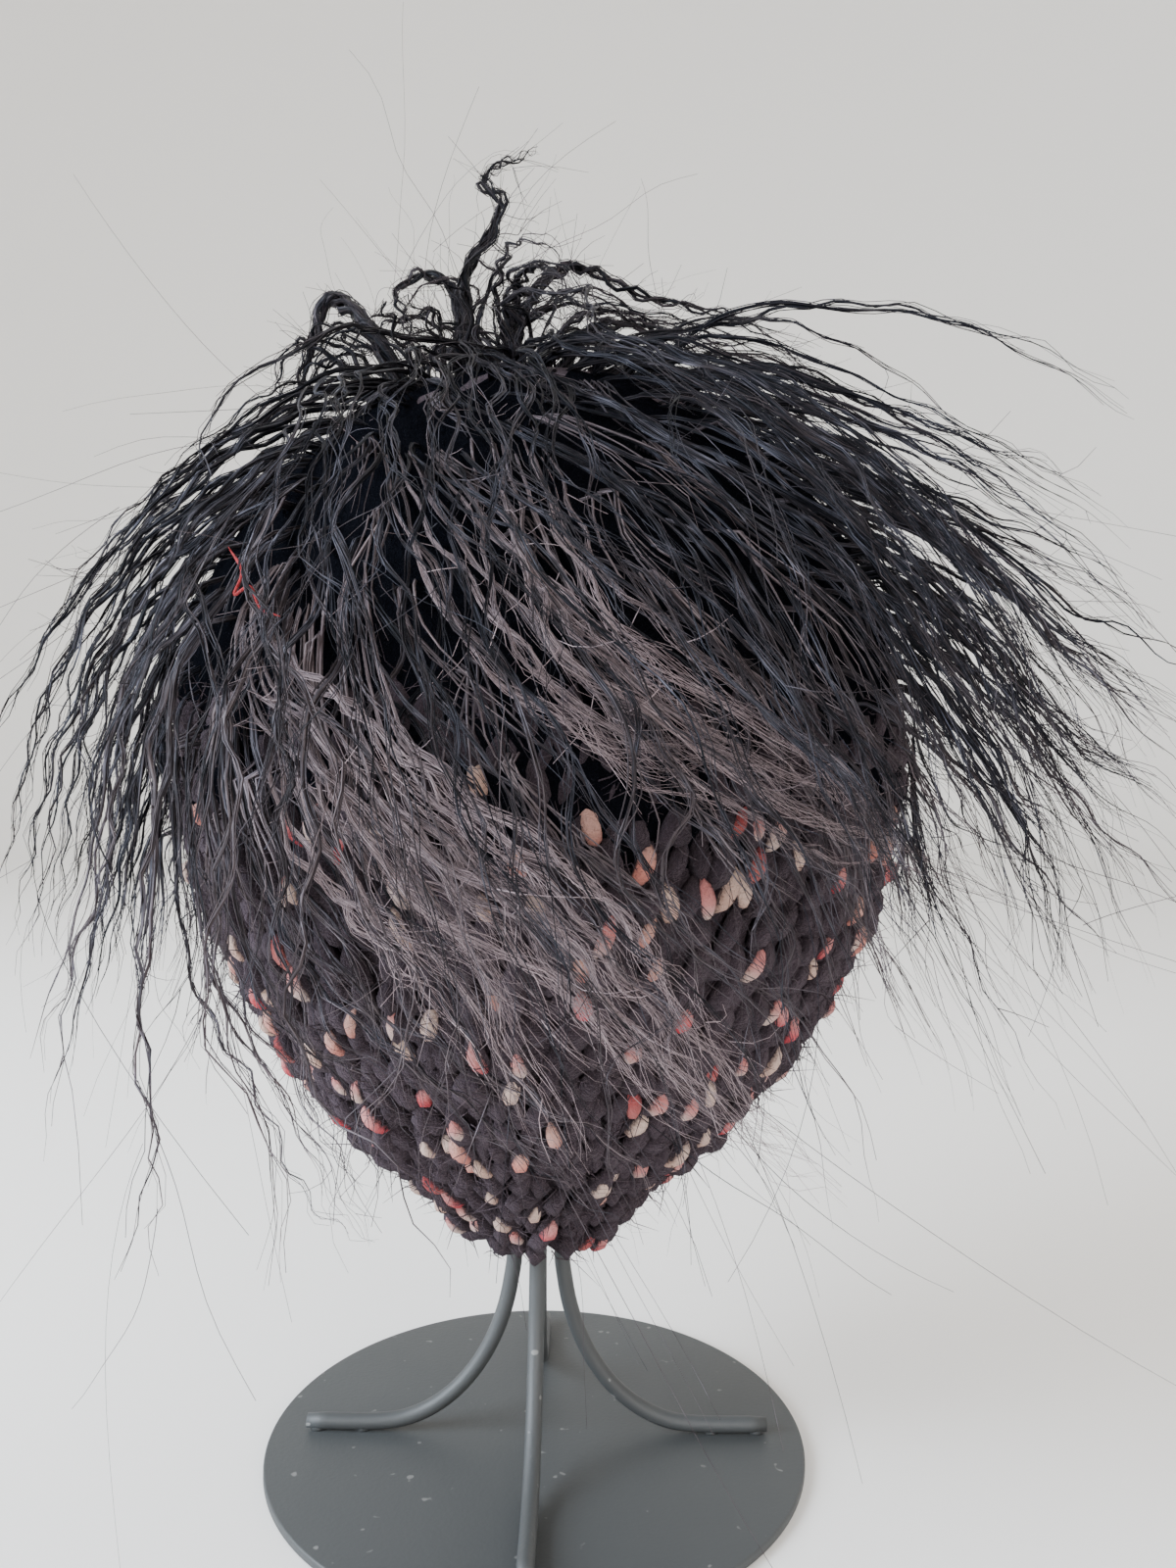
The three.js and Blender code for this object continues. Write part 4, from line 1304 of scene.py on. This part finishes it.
def makeCrownCurls():
    rng = np.random.default_rng(curlForm["seed"])
    shares = np.linspace(0, 1, strandForm["corePoints"] + curlForm["morePoints"])
    bundles = []
    for name, (thickness, (right, behind), points) in crownCurls.items():
        root = (right, behind, math.sqrt(1 - right ** 2 - behind ** 2) - 1)
        companions = curlForm["companions"] * (1 if name == "tallTwist" else 2)
        for companion in range(companions + 1):
            places = np.array([root, *points])
            if companion:
                places = places + rng.normal(0, curlForm["apart"], (1, 3))
                places = places + rng.normal(0, curlForm["uneven"], places.shape)
                places[:, 2] = places[:, 2] * rng.uniform(*curlForm["shorter"]) - 0.02
            line = resampled(places * hatRadius + [0, 0, widestHeight + hatRadius], shares)
            along = normalized(np.gradient(line, axis=0))
            side = normalized(np.cross(along, [0, -1.0, 0.05]))
            face = np.cross(side, along)
            size = thickness * mm * (curlForm["thinner"] if companion else 1)
            form = {**curlForm, "core": size * curlForm["plyCore"]}
            for k in range(1 if companion else curlForm["plies"]):
                angle = k / curlForm["plies"] * 2 * math.pi
                angle = angle + shares * lengthOf(line) * 2 * math.pi / curlForm["plyTwist"]
                ring = size * curlForm["plyRing"] * (1 - 0.6 * shares)
                ply = line + side * (np.cos(angle) * ring)[:, None]
                ply = ply + face * (np.sin(angle) * ring)[:, None]
                ply, _, _ = crimped(ply, rng, form)
                bundles += ropeBundles(ply, side, face, rng, form, toneNear(form["tone"], rng))
    hair("crownCurls", bundles)


# Short locks round the crown that stand up and curl over, more of them to the left.

crest = {
    "count": 30, "fromPole": (6, 30), "leftTurn": (190, 55), "length": (20 * mm, 44 * mm), "steps": 6,
    "aside": 0.5, "outwards": (0, 0.5), "over": (0.5, 1.2), "fall": (0.2, 1.1),
    "core": 0.6 * mm, "strands": 4, "stray": 2.4 * mm, "crimp": 1.2 * mm,
    "crimpLength": (8 * mm, 15 * mm), "wander": 2.5 * mm, "tone": 0.02, "down": 6, "seed": 64,
}


def makeCrest():
    rng = np.random.default_rng(crest["seed"])
    bundles = []
    for i in range(crest["count"]):
        turn = rng.normal(*crest["leftTurn"]) if i % 2 else rng.uniform(0, 360)
        fromPole = rng.uniform(*crest["fromPole"]) * degree
        length = rng.uniform(*crest["length"])
        around = np.array([math.cos(turn * degree), math.sin(turn * degree), 0])
        out = around * math.sin(fromPole) + np.array([0, 0, math.cos(fromPole)])
        root = out * hatRadius + [0, 0, widestHeight]
        sideways = np.cross(out, around) * rng.normal(0, crest["aside"])
        rise = normalized(out + around * rng.uniform(*crest["outwards"]) + sideways * 0.5)
        over = around * rng.uniform(*crest["over"]) + sideways
        fall = normalized(over - out * rng.uniform(*crest["fall"]))
        points, steps = [root], crest["steps"]
        for k in range(steps):
            share = smooth(k / (steps - 1), 0.15, 0.9)
            points.append(points[-1] + normalized(rise * (1 - share) + fall * share) * length / steps)
        bundles += rope(resampled(np.array(points), ropeShares), rng, crest)
    hair("crest", bundles)


makeCrest()
makeCrownCurls()
print("curls made:", triangleCount)


# Single hairs that fly away from the locks, kept within the room round the solids.

flyaways = {
    "count": 240, "points": 13, "radius": 0.085 * mm, "plump": (0.7, 1.4), "length": (28 * mm, 75 * mm),
    "crown": (-18, 0, 300), "crownSpread": (18, 16), "crownHigh": (-4, 30),  # mm
    "onVeil": (0.6, 0.94), "offVeil": 4 * mm, "longerVeil": 1.3,
    "onLock": (0.2, 0.92), "offLock": 3 * mm,
    "bend": 0.5, "droop": 0.35, "wave": (0.6, 2.2), "waves": (4, 14), "tone": (0.1, 0.1), "seed": 77,
}


def bent(start, heading, bend, shares, length, share):  # a hair that curves more and more
    return start + heading * (shares * length)[:, None] + bend * (shares ** 2 * length * share)[:, None]


def placeOn(guide, between, rng):  # a place along a guide, and the way it goes on there
    line = resampled(guide, np.array([0.0, 0.05]) + rng.uniform(*between))
    return line[0], normalized(line[1] - line[0])


def makeFlyaways():
    rng = np.random.default_rng(flyaways["seed"])
    shares = np.linspace(0, 1, flyaways["points"])
    rows = lockRows()
    paths = []
    for i in range(flyaways["count"]):
        length = rng.uniform(*flyaways["length"])
        if i % 5 == 0:  # from the crown
            (x, y, z), (wide, deep) = flyaways["crown"], flyaways["crownSpread"]
            high = flyaways["crownHigh"]
            start = np.array([rng.normal(x, wide), rng.normal(y, deep), z + rng.uniform(*high)]) * mm
            heading = normalized(rng.normal(0, 0.5, 3) + [0, 0, 1.0])
        elif i % 5 == 1:  # from the ends of the swept locks
            guide = np.array(list(sweptLocks.values())[rng.integers(len(sweptLocks))]) * hatRadius
            start, onwards = placeOn(guide + [0, 0, widestHeight], flyaways["onVeil"], rng)
            start = start + rng.normal(0, flyaways["offVeil"], 3)
            heading = normalized(onwards + rng.normal(0, 0.2, 3) - [0, 0, 0.25])
            length = length * flyaways["longerVeil"]
        else:
            guide = lockLine(*rows[rng.integers(len(rows))])
            start, onwards = placeOn(guide, flyaways["onLock"], rng)
            start = start + rng.normal(0, flyaways["offLock"], 3)
            heading = normalized(onwards + outOfDrape(start)[0] * 0.5 + rng.normal(0, 0.35, 3))
        bend = rng.normal(0, flyaways["bend"], 3) - [0, 0, flyaways["droop"]]
        sway = normalized(np.cross(heading, rng.normal(0, 1, 3)))
        wave = np.sin(shares * rng.uniform(*flyaways["waves"]) + rng.uniform(0, 6.28))
        wave = wave * rng.uniform(*flyaways["wave"]) * mm * shares
        paths.append(heldIn(bent(start, heading, bend, shares, length, 0.6) + sway * wave[:, None]))
    radii = flyaways["radius"] * np.linspace(1, 0.5, len(shares))[None]
    radii = radii * rng.uniform(*flyaways["plump"], (len(paths), 1))
    tones = np.clip(rng.normal(*flyaways["tone"], (len(paths), 1)), 0, 1)
    hair("flyaways", [hairBundle(paths, radii, np.repeat(tones, len(shares), axis=1))])


# Down: short fine hairs that stand off the ropes and blur them.

down = {
    "count": 1800, "points": 4, "radius": 0.1 * mm, "plump": (0.7, 1.3), "length": (5 * mm, 16 * mm),
    "lean": 0.7, "bend": 0.55, "tone": (0.6, 1.4), "lighter": 0.04, "seed": 91,
}


def makeDown():
    rng = np.random.default_rng(down["seed"])
    weights = np.array([weight * lengthOf(line) for line, _, _, _, weight in ropeLines])
    picks = rng.choice(len(ropeLines), down["count"], p=weights / weights.sum())
    shares = np.linspace(0, 1, down["points"])
    paths, tones = [], []
    for pick in picks:
        line, side, face, tone, _ = ropeLines[pick]
        i = int(rng.uniform(0.05, 0.95) * (len(line) - 2))
        length = rng.uniform(*down["length"])
        start = line[i] + (line[i + 1] - line[i]) * rng.random()
        aside, off = rng.normal(0, down["lean"], 2)
        heading = normalized(line[i + 1] - line[i]) + side[i] * aside + face[i] * (off + 0.3)
        bend = rng.normal(0, down["bend"], 3)
        paths.append(heldIn(bent(start, normalized(heading), bend, shares, length, 0.7)))
        own = np.clip(tone * rng.uniform(*down["tone"]) + down["lighter"], 0, 1)
        tones.append(np.full(len(shares), own))
    radii = down["radius"] * np.linspace(1, 0.5, len(shares))[None]
    radii = radii * rng.uniform(*down["plump"], (len(paths), 1))
    hair("hairDown", [hairBundle(paths, radii, tones)])


makeFlyaways()
makeDown()
print("hair made:", sum(triangleCount.values()), "triangles,", triangleCount)


# A loose end of red yarn that has worked its way out at the left.

redThread = {
    "radius": 0.35 * mm,
    "steps": 48,
    "colour": (0.45, 0.03, 0.03),
    "points": [
        (-65.6, -80.2, 240.7), (-60.7, -86.8, 234.3), (-62.1, -87.3, 229.4), (-58.1, -89.8, 230.7),
        (-55.1, -93.1, 225.8), (-50.1, -96.4, 223.7)],
}


def makeRedThread():
    steps = redThread["steps"]
    shares = np.linspace(0, 1, steps)
    line = resampled(np.array(redThread["points"]) * mm, shares)
    radii = redThread["radius"] * np.interp(shares, [0, 0.1, 0.9, 1], [0.3, 1, 1, 0.3])
    tint = np.ones((1, steps, 4))
    tint[..., :3] = redThread["colour"]
    yarn("redThread", line[None], radii[None], 6, {"tint": tint, "fleck": np.ones((1, steps))})


makeRedThread()


# Floor, lights and the plain surroundings.

floorSettings = {
    "radius": 2.4, "bend": 1.0, "bendSteps": 12, "high": 3.2, "below": 0.2 * mm, "around": 96,
    "colour": (0.86, 0.845, 0.82), "roughness": 0.85,
}


def makeFloor():  # it bends up all round, so that no line shows from any side
    radius, bend = floorSettings["radius"], floorSettings["bend"]
    profile = [(0.4 * radius, 0), (0.98 * radius, 0)]
    for i in range(floorSettings["bendSteps"] + 1):
        angle = i / floorSettings["bendSteps"] * 90 * degree
        profile.append((radius + bend * math.sin(angle), bend * (1 - math.cos(angle))))
    profile.append((radius + bend, floorSettings["high"]))
    around = floorSettings["around"]
    corners = []
    for out, up in profile:
        for turn in np.arange(around) / around * 2 * math.pi:
            corners.append((out * math.cos(turn), out * math.sin(turn), up - floorSettings["below"]))
    faces = [tuple(range(around))]
    for ring in range(len(profile) - 1):
        low, high = ring * around, (ring + 1) * around
        for i in range(around):
            j = (i + 1) % around
            faces.append((low + j, low + i, high + i, high + j))
    graph = Graph("plain floor")
    graph.set(Base_Color=floorSettings["colour"], Roughness=floorSettings["roughness"])
    mesh = bpy.data.meshes.new("floor")
    mesh.from_pydata(corners, [], faces)
    floor = linked("floor", mesh, graph.material)


lights = {
    "window": {"place": (-1.4, -0.6, 0.8), "size": 1.0, "power": 86, "colour": (0.80, 0.89, 1.0)},
    "room": {"place": (0.5, -1.5, 0.7), "size": 1.2, "power": 20, "colour": (1.0, 0.93, 0.88)},
    "above": {"place": (0.2, 0.4, 1.6), "size": 1.2, "power": 4, "colour": (1.0, 0.98, 0.95)},
}

surroundings = {"aim": (0, 0, 0.18), "colour": (0.80, 0.78, 0.75), "strength": 1.5}


def makeLights():
    for name, settings in lights.items():
        data = bpy.data.lights.new(name, "AREA")
        data.energy, data.size, data.color = settings["power"], settings["size"], settings["colour"]
        lamp = bpy.data.objects.new(name, data)
        bpy.context.scene.collection.objects.link(lamp)
        lamp.location = settings["place"]
        aim = Vector(surroundings["aim"]) - Vector(settings["place"])
        lamp.rotation_euler = aim.to_track_quat("-Z", "Y").to_euler()
    world = bpy.data.worlds.new("studio")
    world.use_nodes = True
    background = world.node_tree.nodes["Background"].inputs
    background["Color"].default_value = (*surroundings["colour"], 1)
    background["Strength"].default_value = surroundings["strength"]
    bpy.context.scene.world = world


makeFloor()
makeLights()
print("stage and lights made")
